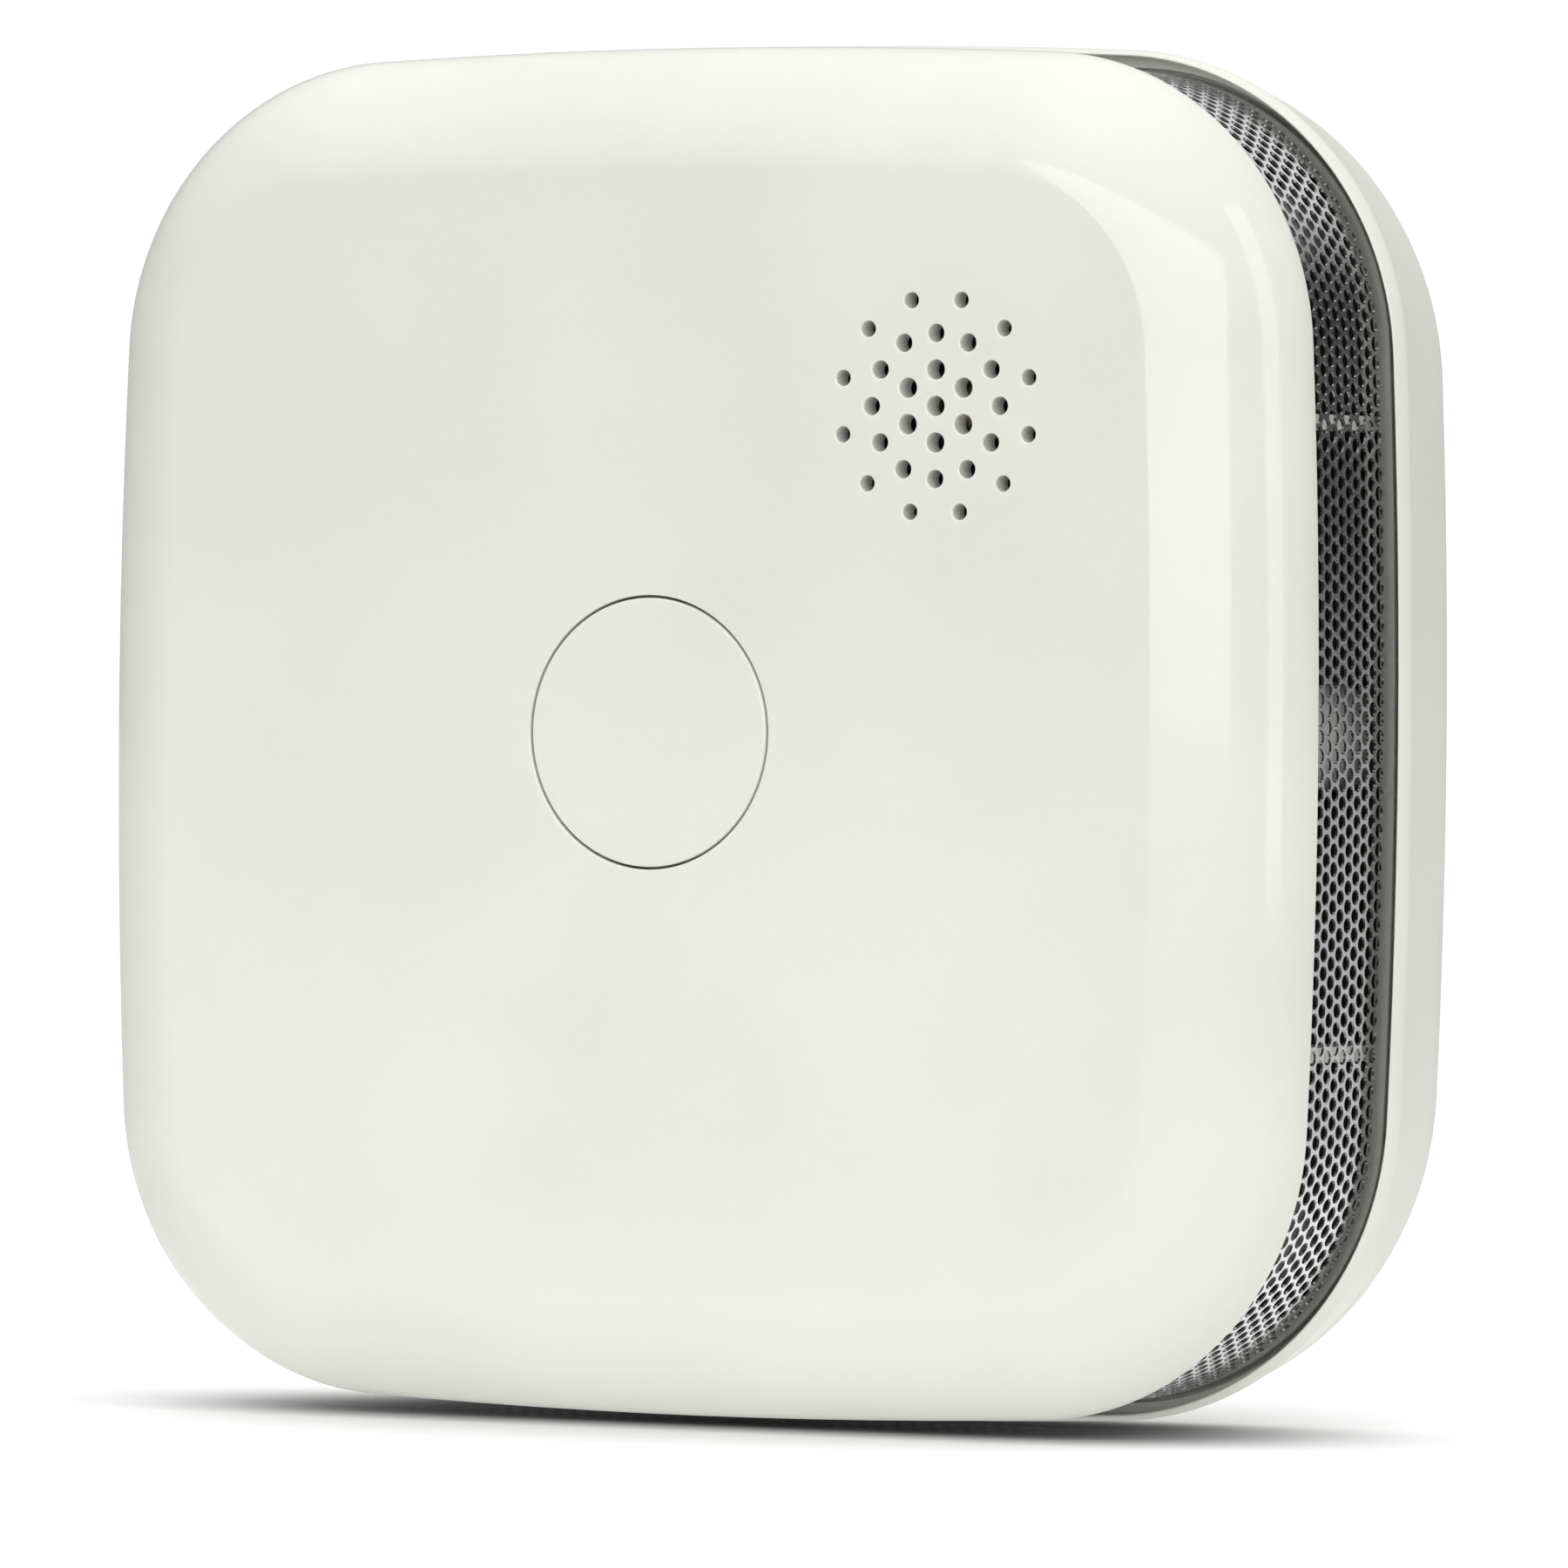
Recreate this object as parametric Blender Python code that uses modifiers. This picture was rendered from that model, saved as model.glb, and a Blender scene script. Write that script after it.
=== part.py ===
"""Square smoke detector on a twist-lock wall plate, with one solid for each piece.

The detector is modelled lying on its back: X to the right, Y up the wall and Z away from
the wall. One empty then stands it upright, so that in the world the wall is the plane
Y = 0, the face looks along -Y and Z is up. Heights below are distances from the wall.
"""
import math

import bmesh
import bpy
from mathutils import Matrix, Vector

MM = 0.001
GAP = 0.3 * MM                    # play between neighbouring pieces

# Casing, driving dimensions
HALF = 55.0 * MM                  # half the width of the cover at its rim
CORNER = 24.3 * MM                # corner radius at that width
BOW = 0.72 * MM                   # how far a side bulges between its corners
FACE_HEIGHT = 37.6 * MM           # front face above the wall
RIM_HEIGHT = 27.5 * MM            # rear edge of the cover
FACE_HALF = 45.0 * MM             # half width of the flat face
ROLL_POWER = 1.65                 # from face to rim: 1 would be a chamfer, 2 a quarter circle
WALL = 2.0 * MM
LIP_HALF = 55.7 * MM              # widest part of the base, at the foot of its lip's bevel
LIP_CORNER = 25.8 * MM
LIP_FOOT = 13.0 * MM
LIP_HEIGHT = 14.35 * MM
LIP_BEVEL = 0.3 * MM              # each facet of the lip's edge steps in by this much
SHELF_HEIGHT = 12.0 * MM          # ledge that the mesh stands in, sunk inside the lip
BASE_HALF = 54.8 * MM             # the base's side, just above the round to its rear
BASE_CORNER = 26.7 * MM
BASE_HEIGHT = 0.4 * MM            # rear of the base above the wall
BASE_ROUND = 6.0 * MM
BASE_FLOOR = 2.6 * MM             # inside of the base's rear wall
BEDDED = 1.0 * MM                 # how far a part that is joined on runs into its neighbour
INSIDE_HALF = 52.4 * MM           # inside of both shells where they meet the mesh
SIDE_STEPS = 4
CORNER_STEPS = 7
ROUND_STEPS = 4

# Insect mesh
MESH_HALF = 54.0 * MM
MESH_SHEET = 0.3 * MM
GROOVE_DEPTH = 1.1 * MM

# Test button and sounder grille
BUTTON_RADIUS = 10.75 * MM
BUTTON_HOLE = 10.95 * MM
GRILLE_AT = (25.9 * MM, 26.0 * MM)
GRILLE_PITCH = 2.88 * MM
GRILLE_RINGS = ((6, 0.0, 0.79), (12, 0.0, 0.72), (12, 0.5, 0.64))    # count, turn, radius in mm

HOLE_SIDES = 8

# Wall plate, its bayonet and the recess it sits in
PLATE_RADIUS = 43.4 * MM
PLATE_OPENING = 30.0 * MM
PLATE_HEIGHT = 3.2 * MM
PLATE_WEB = 1.4 * MM              # rear of the thin web above the wall
PLATE_RIM = 1.5 * MM
RECESS_RADIUS = 44.0 * MM
RECESS_FLOOR = 3.7 * MM
HOOK_ANGLES = (45, 135, 225, 315)
HOOK_RADIUS = 38.0 * MM
HOOK_SPAN = 6.0                   # degrees of arc
HOOK_PLAY = 0.8                   # degrees at either end
HOOK_STEM = 2.0 * MM
HOOK_HEAD = 5.6 * MM
HOOK_TOP = 0.4 * MM
TWIST = 15.0                      # degrees from locked to free
WALL_SLOT = (35.7 * MM, 8.0 * MM, 4.5 * MM)    # centre radius, length, width
SEAT_PAD = (8.4 * MM, 12.6 * MM)  # foot under each screw's seat, across and along the ring
SEAT_POCKET = (7.2 * MM, 11.4 * MM)
SEAT_HEIGHT = 1.2 * MM            # seat of a wall screw's head above the wall

# Battery bay and door
BAY_HALF = 20.25 * MM
BAY_BOTTOM = -16.0 * MM
BAY_TOP = 2.0 * MM
BAY_WALL = 1.5 * MM
BAY_ROOF = 24.1 * MM
COLLAR = 2.2 * MM                 # ledge round the bay that joins it to the floor
COLLAR_HEIGHT = 1.5 * MM
DOOR_HALF = 22.0 * MM
DOOR_BOTTOM = -18.0 * MM
DOOR_THICK = 1.7 * MM
DOOR_AXIS = (3.1 * MM, 4.6 * MM)  # up the wall, above the wall
DOOR_BARREL = 0.85 * MM
PEG_RADIUS = 0.5 * MM
PEG_LENGTH = 0.9 * MM
BARREL_PLAY = 0.35 * MM
PEG_PLAY = 0.1 * MM
TAB_HALF = 5.0 * MM
TAB_LENGTH = 2.5 * MM
TAB_THICK = 0.9 * MM
TAB_PLAY = 1.0 * MM               # room for a fingertip round the tab
BATTERY_RADIUS = 8.5 * MM
BATTERY_LENGTH = 34.5 * MM
BATTERY_START = -15.55 * MM
BATTERY_AT = (-7.0 * MM, 14.7 * MM)
TERMINAL_RADIUS = 2.8 * MM
TERMINAL_HEIGHT = 1.0 * MM
CELL_EDGE = 0.5 * MM
CONTACT_X = 19.6 * MM
CONTACT_SHEET = 0.4 * MM
CONTACT_HALF = (4.0 * MM, 5.0 * MM)
BUMP = (1.8 * MM, 0.35 * MM)      # radius, height
SPRING_TURNS = 3
SPRING_RADII = (4.2 * MM, 2.4 * MM)    # at the contact, at the cell
SPRING_WIRE = 0.35 * MM

# Circuit board, posts and screws
BOARD_HALF = 49.5 * MM
BOARD_CORNER = 46.0 * MM
BOARD_REAR = 27.0 * MM
BOARD_FRONT = 28.6 * MM
CASE_SCREW_AT = 40.0 * MM
COVER_BOSS_RADIUS = 3.4 * MM
BASE_BOSS_RADIUS = 4.2 * MM
WELL_RADIUS = 3.0 * MM            # well that a case screw's head goes down
WELL_FLOOR = 21.5 * MM
CASE_HOLE_RADIUS = 1.6 * MM
CASE_HOLE_END = 33.0 * MM
BOARD_HOLE_RADIUS = 1.3 * MM
SCREW_HOLES = (20.0 * MM, 28.0 * MM)    # heights between which the base's screw holes run
SCREW_THREAD = 1.3 * MM
SCREW_HEAD = (2.7 * MM, 19.3 * MM, 21.2 * MM)    # radius, outside and seat of a case screw's head
SCREW_TIP = 32.0 * MM
POST_AT = 46.0 * MM               # the two board posts stand left and right of the middle
POST_RADIUS = 4.2 * MM
RIB_AT = 25.0 * MM                # four ribs stand inside the mesh, to either side of the posts
RIB_SPAN = (48.0 * MM, 52.2 * MM)
RIB_THICK = 1.2 * MM
RIB_START = 1.8 * MM              # above the base's rear, to stay within the round there
FRAME_SKIN = (51.4 * MM, 50.2 * MM)    # outside and inside of the tray's upright edge
FRAME_HEIGHTS = (6.1 * MM, 7.3 * MM, 10.0 * MM)    # its rear, its floor and its edge
FRAME_PLAY = 0.4 * MM

# Smoke chamber
CHAMBER_AT = (0.0, 28.0 * MM)
CHAMBER_RADIUS = 19.5 * MM
CHAMBER_LOW = 12.9 * MM
CHAMBER_HIGH = 26.7 * MM
CHAMBER_SKIN = 1.2 * MM
VANE_COUNT = 14
VANE_THICK = 0.8 * MM
VANE_ELBOW = ((18.6, -1.2), (16.0, 1.6), (13.6, 0.4))    # bend seen along the axis, in mm
LENS_AT = (9.6 * MM, 20.0 * MM)   # emitter and photodiode: from the chamber's axis, above the wall

# Button, switch and sounder
SOFT_EDGE = 0.3 * MM
FLANGE = (12.3 * MM, 1.1 * MM)    # radius of the button's flange, its rear below the ceiling
CUP_RADIUS = 9.3 * MM
CUP_TOP = FACE_HEIGHT - 1.6 * MM
STEM_RADIUS = 1.8 * MM
STEM_END = 33.5 * MM
RETAINER_RADII = (14.6 * MM, 13.2 * MM, 11.0 * MM)    # outside, inside and inside of its flange
RETAINER_HEIGHTS = (32.7 * MM, 33.6 * MM)    # rear and front of its flange
SWITCH_HALF = 3.0 * MM
SWITCH_TOP = 32.2 * MM
SWITCH_BORE = (1.9 * MM, 30.4 * MM)    # radius, blind end
PLUNGER = (1.65 * MM, 31.3 * MM, 33.2 * MM)    # radius, lower and upper end
RESONATOR_RADII = (13.5 * MM, 12.3 * MM, 11.3 * MM, 2.0 * MM)    # skin, foot, cavity, mouth
RESONATOR_TOP = 34.0 * MM
RESONATOR_SKIN = 1.2 * MM
RESONATOR_SEAT = 31.6 * MM        # step that the disc lies under
DISC = (11.9 * MM, 31.3 * MM, 31.05 * MM)    # brass: radius, front, rear
CERAMIC = (7.5 * MM, 30.8 * MM)   # the thinner layer on its rear: radius, rear
GASKET_RADII = (12.5 * MM, 9.6 * MM)
LEAD_RADIUS = 0.3 * MM
LEAD_BEND = ((1.0, 30.3), (2.0, 30.2), (3.2, 29.8), (4.4, 29.4), (5.6, 29.3))    # down, height, mm

COLOURS = {                       # colour, roughness, metallic
    "white_gloss": ((0.83, 0.84, 0.78), 0.12, 0.0),
    "white_satin": ((0.80, 0.80, 0.76), 0.35, 0.0),
    "black_matte": ((0.02, 0.02, 0.022), 0.6, 0.0),
    "steel": ((0.62, 0.62, 0.62), 0.28, 1.0),
    "nickel": ((0.70, 0.67, 0.60), 0.3, 1.0),
    "brass": ((0.78, 0.60, 0.28), 0.3, 1.0),
    "board_green": ((0.02, 0.16, 0.07), 0.4, 0.0),
    "chip_black": ((0.03, 0.03, 0.03), 0.5, 0.0),
    "clear_blue": ((0.45, 0.55, 0.75), 0.1, 0.0),
    "dark_lens": ((0.05, 0.02, 0.06), 0.1, 0.0),
    "led_clear": ((0.85, 0.85, 0.75), 0.1, 0.0),
    "foam_grey": ((0.16, 0.16, 0.17), 0.9, 0.0),
    "cell_wrap": ((0.12, 0.22, 0.42), 0.35, 0.0),
    "capacitor_wrap": ((0.05, 0.06, 0.16), 0.3, 0.0),
    "lead_red": ((0.55, 0.03, 0.02), 0.4, 0.0),
    "lead_black": ((0.02, 0.02, 0.02), 0.4, 0.0),
}


def spread(start, end, steps):
    """Values from start up to, but not including, end."""
    return [start + (end - start) * i / steps for i in range(steps)]


def outline(half, corner):
    """Points round a square with bowed sides and round corners, anticlockwise."""
    reach = HALF - CORNER
    side_radius = (reach ** 2 + BOW ** 2) / (2 * BOW)
    side_centre = half - side_radius
    between = side_radius - corner
    corner_centre = (side_centre + math.sqrt(2 * between ** 2 - side_centre ** 2)) / 2
    turn = math.atan2(corner_centre, corner_centre - side_centre)
    points = []
    for quarter in range(4):
        rotate = Matrix.Rotation(quarter * math.pi / 2, 2)
        for t in spread(-turn, turn, SIDE_STEPS):
            side = (side_centre + side_radius * math.cos(t), side_radius * math.sin(t))
            points.append(rotate @ Vector(side))
        for t in spread(turn, math.pi / 2 - turn, CORNER_STEPS):
            bend = (corner_centre + corner * math.cos(t), corner_centre + corner * math.sin(t))
            points.append(rotate @ Vector(bend))
    return points


def cover_ring(half, height):
    """A section of the cover, whose corners keep the rim's corner centre."""
    return half, CORNER - (HALF - half), height


def base_ring(half, height):
    """A section of the base's side and of the round to its rear."""
    return half, BASE_CORNER - (BASE_HALF - half), height


def lip_ring(half, height):
    """A section of the base's lip."""
    return half, LIP_CORNER - (LIP_HALF - half), height


def roll_over(face, rim, high, low):
    """The curve from a flat face down to a rim, as (half width, height) pairs."""
    curve = []
    for t in spread(0, math.pi / 2, ROUND_STEPS):
        out = math.sin(t) ** (2 / ROLL_POWER)
        up = math.cos(t) ** (2 / ROLL_POWER)
        curve.append((face + (rim - face) * out, low + (high - low) * up))
    return curve + [(rim, low)]


def corner_arc(half, height, radius):
    """The round from a base's rear face out to its side, as (half width, height) pairs."""
    arc = []
    for t in spread(0, math.pi / 2, ROUND_STEPS) + [math.pi / 2]:
        arc.append((half - radius + radius * math.sin(t), height + radius - radius * math.cos(t)))
    return arc


def finish_object(name, bm, material, at=(0, 0, 0), cutter=False):
    """Put a bmesh into the scene as an object, smooth where it is round."""
    mesh = bpy.data.meshes.new(name)
    bm.to_mesh(mesh)
    bm.free()
    mesh.shade_smooth()
    mesh.set_sharp_from_angle(angle=math.radians(35))
    piece = bpy.data.objects.new(name, mesh)
    piece.location = at
    piece.parent = stand
    if cutter:
        cutters.objects.link(piece)
        piece.hide_render = True
        piece.display_type = "WIRE"
    else:
        pieces.objects.link(piece)
        mesh.materials.append(materials[material])
    return piece


def loft(sections, closed=False):
    """Skin between outlines of different sizes; the ends are capped unless it closes on itself."""
    bm = bmesh.new()
    rings = []
    for half, corner, height in sections:
        rings.append([bm.verts.new((x, y, height)) for x, y in outline(half, corner)])
    pairs = list(zip(rings, rings[1:]))
    if closed:
        pairs.append((rings[-1], rings[0]))
    for lower, upper in pairs:
        for i, start in enumerate(lower):
            following = (i + 1) % len(lower)
            bm.faces.new((start, lower[following], upper[following], upper[i]))
    if not closed:
        bm.faces.new(rings[0])
        bm.faces.new(rings[-1])
    bmesh.ops.recalc_face_normals(bm, faces=bm.faces)
    return bm


def add_box(bm, low, high):
    """A box between two corners."""
    size = Vector(high) - Vector(low)
    middle = (Vector(high) + Vector(low)) / 2
    matrix = Matrix.Translation(middle) @ Matrix.Diagonal((*size, 1))
    bmesh.ops.create_cube(bm, size=1, matrix=matrix)


def add_rod(bm, at, radius, low, high, sides=24, along="Z"):
    """A cylinder from low to high along Z, Y or X, through the point at."""
    turn = {"Z": Matrix(), "Y": Matrix.Rotation(-math.pi / 2, 4, "X"),
            "X": Matrix.Rotation(math.pi / 2, 4, "Y")}[along]
    shift = turn @ Matrix.Translation((0, 0, (low + high) / 2))
    matrix = Matrix.Translation(at) @ shift
    bmesh.ops.create_cone(bm, cap_ends=True, segments=sides, radius1=radius, radius2=radius,
                          depth=high - low, matrix=matrix)


def box(name, low, high, material, at=(0, 0, 0), round_edges=0.0):
    """A box piece, with its edges rounded on request."""
    bm = bmesh.new()
    add_box(bm, low, high)
    if round_edges:
        bmesh.ops.bevel(bm, geom=bm.edges, offset=round_edges, segments=2, affect="EDGES",
                        profile=0.5)
    return finish_object(name, bm, material, at)


def add_slab(bm, offset, turned_up, size, low, high):
    """A slab offset along X, or along Y if turned up; size is across and along the ring."""
    across, along = size[0] / 2, size[1] / 2
    if turned_up:
        add_box(bm, (-along, offset - across, low), (along, offset + across, high))
    else:
        add_box(bm, (offset - across, -along, low), (offset + across, along, high))


def rod(name, at, radius, low, high, material, sides=24, along="Z"):
    """A plain round piece whose origin is on its own axis."""
    bm = bmesh.new()
    add_rod(bm, (0, 0, 0), radius, low, high, sides, along)
    return finish_object(name, bm, material, at)


def turned(name, profile, material, at=(0, 0, 0), steps=32):
    """A turned piece from (radius, height) points that run down its outer side."""
    mesh = bpy.data.meshes.new(name)
    on_axis = profile[0][0] == 0
    count = len(profile)
    edges = [(i, i + 1) for i in range(count - 1)]
    if not on_axis:
        edges.append((count - 1, 0))
    mesh.from_pydata([(radius, 0, height) for radius, height in profile], edges, [])
    mesh.materials.append(materials[material])
    piece = bpy.data.objects.new(name, mesh)
    piece.location = at
    piece.parent = stand
    pieces.objects.link(piece)
    screw = piece.modifiers.new("Turn", "SCREW")
    screw.steps = steps
    screw.render_steps = steps
    screw.use_merge_vertices = True
    screw.merge_threshold = 0.00001
    screw.use_smooth_shade = False
    return piece


def wire(name, points, radius, material):
    """A round wire along points, with filled ends."""
    curve = bpy.data.curves.new(name, "CURVE")
    curve.dimensions = "3D"
    curve.bevel_depth = radius
    curve.bevel_resolution = 2
    curve.use_fill_caps = True
    spline = curve.splines.new("POLY")
    spline.points.add(len(points) - 1)
    for target, point in zip(spline.points, points):
        target.co = (*point, 1)
    spline.use_smooth = True
    curve.materials.append(materials[material])
    piece = bpy.data.objects.new(name, curve)
    piece.parent = stand
    pieces.objects.link(piece)
    return piece


def combine(piece, bm, operation, name):
    """Join a solid to a piece, or cut it away, and keep the solid as a named guide."""
    bmesh.ops.recalc_face_normals(bm, faces=bm.faces)
    tool = finish_object(name, bm, None, piece.location, cutter=True)
    step = piece.modifiers.new(name, "BOOLEAN")
    step.operation = operation
    step.solver = "EXACT"
    step.object = tool


def polar(radius, degrees):
    """A point at a distance and angle from the detector's axis."""
    angle = math.radians(degrees)
    return radius * math.cos(angle), radius * math.sin(angle)


def arc_block(bm, section, start, end):
    """A block bent round the axis: a (radius, height) section swept between two angles."""
    steps = max(2, round(abs(end - start) / 4))
    loops = []
    for angle in spread(start, end, steps) + [end]:
        loops.append([bm.verts.new((*polar(radius, angle), height)) for radius, height in section])
    for near, far in zip(loops, loops[1:]):
        for i, corner in enumerate(near):
            following = (i + 1) % len(near)
            bm.faces.new((corner, near[following], far[following], far[i]))
    bm.faces.new(loops[0])
    bm.faces.new(loops[-1])


def ring_section(radius, width, low, high):
    """A rectangle in a (radius, height) section, centred on a radius."""
    inner, outer = radius - width / 2, radius + width / 2
    return [(inner, low), (outer, low), (outer, high), (inner, high)]


def case_screw_places():
    """Where the four case screws stand."""
    return [(x * CASE_SCREW_AT, y * CASE_SCREW_AT) for x in (1, -1) for y in (1, -1)]


def add_ribs(bm, margin, low, high):
    """The four ribs inside the mesh, or with a margin the slots that clear them."""
    near, far = RIB_SPAN[0] - margin, RIB_SPAN[1] + margin
    half = RIB_THICK / 2 + margin
    for up in (-RIB_AT, RIB_AT):
        add_box(bm, (near, up - half, low), (far, up + half, high))
        add_box(bm, (-far, up - half, low), (-near, up + half, high))


def grille_holes(bm, low, high):
    """The sounder's holes: one in the middle and three rings round it."""
    add_rod(bm, (*GRILLE_AT, 0), GRILLE_RINGS[0][2] * MM, low, high, HOLE_SIDES)
    for ring, (count, turn, radius) in enumerate(GRILLE_RINGS, 1):
        for i in range(count):
            x, y = polar(ring * GRILLE_PITCH, 90 + (i + turn) * 360 / count)
            add_rod(bm, (GRILLE_AT[0] + x, GRILLE_AT[1] + y, 0), radius * MM, low, high,
                    HOLE_SIDES)


def front_cover():
    """The glossy front shell, with the button's hole, the grille and four screw bosses."""
    ceiling = FACE_HEIGHT - WALL
    outside = roll_over(FACE_HALF, HALF, FACE_HEIGHT, RIM_HEIGHT)
    inside = roll_over(FACE_HALF - GAP * 2, INSIDE_HALF, ceiling, RIM_HEIGHT)
    slot_out, slot_in = MESH_HALF + GAP, MESH_HALF - MESH_SHEET - GAP
    groove = [(slot_out, RIM_HEIGHT), (slot_out, RIM_HEIGHT + GROOVE_DEPTH),
              (slot_in, RIM_HEIGHT + GROOVE_DEPTH), (slot_in, RIM_HEIGHT)]
    profile = outside + groove + inside[::-1]
    piece = finish_object("front_cover", loft([cover_ring(*p) for p in profile]), "white_gloss")
    bosses = bmesh.new()
    for x, y in case_screw_places():
        add_rod(bosses, (x, y, 0), COVER_BOSS_RADIUS, RIM_HEIGHT, ceiling + WALL / 2, 16)
    combine(piece, bosses, "UNION", "cover_bosses")
    holes = bmesh.new()
    add_rod(holes, (0, 0, 0), BUTTON_HOLE, ceiling - WALL, FACE_HEIGHT + WALL, 48)
    grille_holes(holes, ceiling - WALL, FACE_HEIGHT + WALL)
    for x, y in case_screw_places():
        add_rod(holes, (x, y, 0), CASE_HOLE_RADIUS, RIM_HEIGHT - WALL, CASE_HOLE_END, 12)
    combine(piece, holes, "DIFFERENCE", "cover_holes")


def insect_mesh():
    """The band of perforated steel between cover and base, as a plain closed strip."""
    low = SHELF_HEIGHT - GROOVE_DEPTH + GAP
    high = RIM_HEIGHT + GROOVE_DEPTH - GAP
    inner = MESH_HALF - MESH_SHEET
    profile = [(MESH_HALF, high), (MESH_HALF, low), (inner, low), (inner, high)]
    finish_object("insect_mesh", loft([cover_ring(*p) for p in profile], closed=True), "steel")


def base_shell():
    """The base's skin: rear face, rounded side, lip, groove for the mesh, and inside wall."""
    slot_out, slot_in = MESH_HALF + GAP, MESH_HALF - MESH_SHEET - GAP
    groove_floor = SHELF_HEIGHT - GROOVE_DEPTH
    outside = corner_arc(BASE_HALF, BASE_HEIGHT, BASE_ROUND)
    lip = [(LIP_HALF, LIP_FOOT), (LIP_HALF - LIP_BEVEL, LIP_HEIGHT - LIP_BEVEL / 2),
           (LIP_HALF - 1.5 * LIP_BEVEL, LIP_HEIGHT), (LIP_HALF - 2 * LIP_BEVEL, SHELF_HEIGHT)]
    groove = [(slot_out, SHELF_HEIGHT), (slot_out, groove_floor), (slot_in, groove_floor),
              (slot_in, SHELF_HEIGHT), (INSIDE_HALF, SHELF_HEIGHT)]
    inside = corner_arc(INSIDE_HALF, BASE_FLOOR, BASE_ROUND - WALL)
    rings = [base_ring(*p) for p in outside] + [lip_ring(*p) for p in lip]
    return loft(rings + [cover_ring(*p) for p in groove + inside[::-1]])


def rear_housing():
    """The base: plate recess with bayonet hooks, battery bay, screw bosses and board posts."""
    piece = finish_object("rear_housing", base_shell(), "white_satin")
    floor = RECESS_FLOOR + WALL
    low = BASE_HEIGHT + BEDDED
    solids = bmesh.new()
    add_rod(solids, (0, 0, 0), RECESS_RADIUS + WALL, low, floor, 48)
    combine(piece, solids, "UNION", "recess_wall")
    solids = bmesh.new()
    for x, y in case_screw_places():
        add_rod(solids, (x, y, 0), BASE_BOSS_RADIUS, low, RIM_HEIGHT - GAP, 16)
    for side in (-1, 1):
        add_rod(solids, (side * POST_AT, 0, 0), POST_RADIUS, low, BOARD_REAR - GAP, 16)
    add_ribs(solids, 0, BASE_HEIGHT + RIB_START, RIM_HEIGHT - GAP)
    combine(piece, solids, "UNION", "bosses_and_ribs")
    wide, bottom, top = BAY_HALF + BAY_WALL, BAY_BOTTOM - BAY_WALL, BAY_TOP + BAY_WALL
    solids = bmesh.new()
    add_box(solids, (-wide - COLLAR, bottom - COLLAR, floor - BEDDED),
            (wide + COLLAR, top + COLLAR, floor + COLLAR_HEIGHT))
    combine(piece, solids, "UNION", "bay_collar")
    solids = bmesh.new()
    add_box(solids, (-wide, bottom, floor - BEDDED / 2), (wide, top, BAY_ROOF + BAY_WALL))
    combine(piece, solids, "UNION", "bay_walls")
    recess = bmesh.new()
    add_rod(recess, (0, 0, 0), RECESS_RADIUS, -WALL, RECESS_FLOOR, 48)
    combine(piece, recess, "DIFFERENCE", "recess")
    cuts = bmesh.new()
    add_box(cuts, (-BAY_HALF, BAY_BOTTOM, -WALL), (BAY_HALF, BAY_TOP, BAY_ROOF))
    combine(piece, cuts, "DIFFERENCE", "bay_hollow")
    axis_up, axis_out = DOOR_AXIS
    cuts = bmesh.new()
    add_box(cuts, (-DOOR_HALF - GAP, DOOR_BOTTOM - GAP, -WALL),
            (DOOR_HALF + GAP, axis_up + DOOR_BARREL + BARREL_PLAY, floor))
    combine(piece, cuts, "DIFFERENCE", "door_opening")
    cuts = bmesh.new()
    add_rod(cuts, (0, axis_up, axis_out), PEG_RADIUS + PEG_PLAY, -DOOR_HALF - PEG_LENGTH - GAP,
            DOOR_HALF + PEG_LENGTH + GAP, 16, "X")
    add_box(cuts, (-TAB_HALF - TAB_PLAY, DOOR_BOTTOM - TAB_LENGTH - TAB_PLAY, -WALL),
            (TAB_HALF + TAB_PLAY, DOOR_BOTTOM, RECESS_FLOOR + TAB_THICK + GAP))
    for x, y in case_screw_places():
        add_rod(cuts, (x, y, 0), WELL_RADIUS, -WALL, WELL_FLOOR, 16)
    for side in (-1, 1):
        add_rod(cuts, (side * POST_AT, 0, 0), BOARD_HOLE_RADIUS, *SCREW_HOLES, 12)
    combine(piece, cuts, "DIFFERENCE", "screw_wells_and_pegs")
    cuts = bmesh.new()
    for x, y in case_screw_places():
        add_rod(cuts, (x, y, 0), CASE_HOLE_RADIUS, *SCREW_HOLES, 12)
    combine(piece, cuts, "DIFFERENCE", "screw_holes")
    stem_in, stem_out = HOOK_RADIUS - HOOK_STEM / 2, HOOK_RADIUS + HOOK_STEM / 2
    head_in, head_out = HOOK_RADIUS - HOOK_HEAD / 2, HOOK_RADIUS + HOOK_HEAD / 2
    neck = PLATE_WEB - GAP
    section = [(head_in, HOOK_TOP), (head_out, HOOK_TOP), (head_out, neck), (stem_out, neck),
               (stem_out, floor - BEDDED), (stem_in, floor - BEDDED), (stem_in, neck),
               (head_in, neck)]
    hooks = bmesh.new()
    for angle in HOOK_ANGLES:
        arc_block(hooks, section, angle - HOOK_SPAN / 2, angle + HOOK_SPAN / 2)
    combine(piece, hooks, "UNION", "bayonet_hooks")


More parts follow.
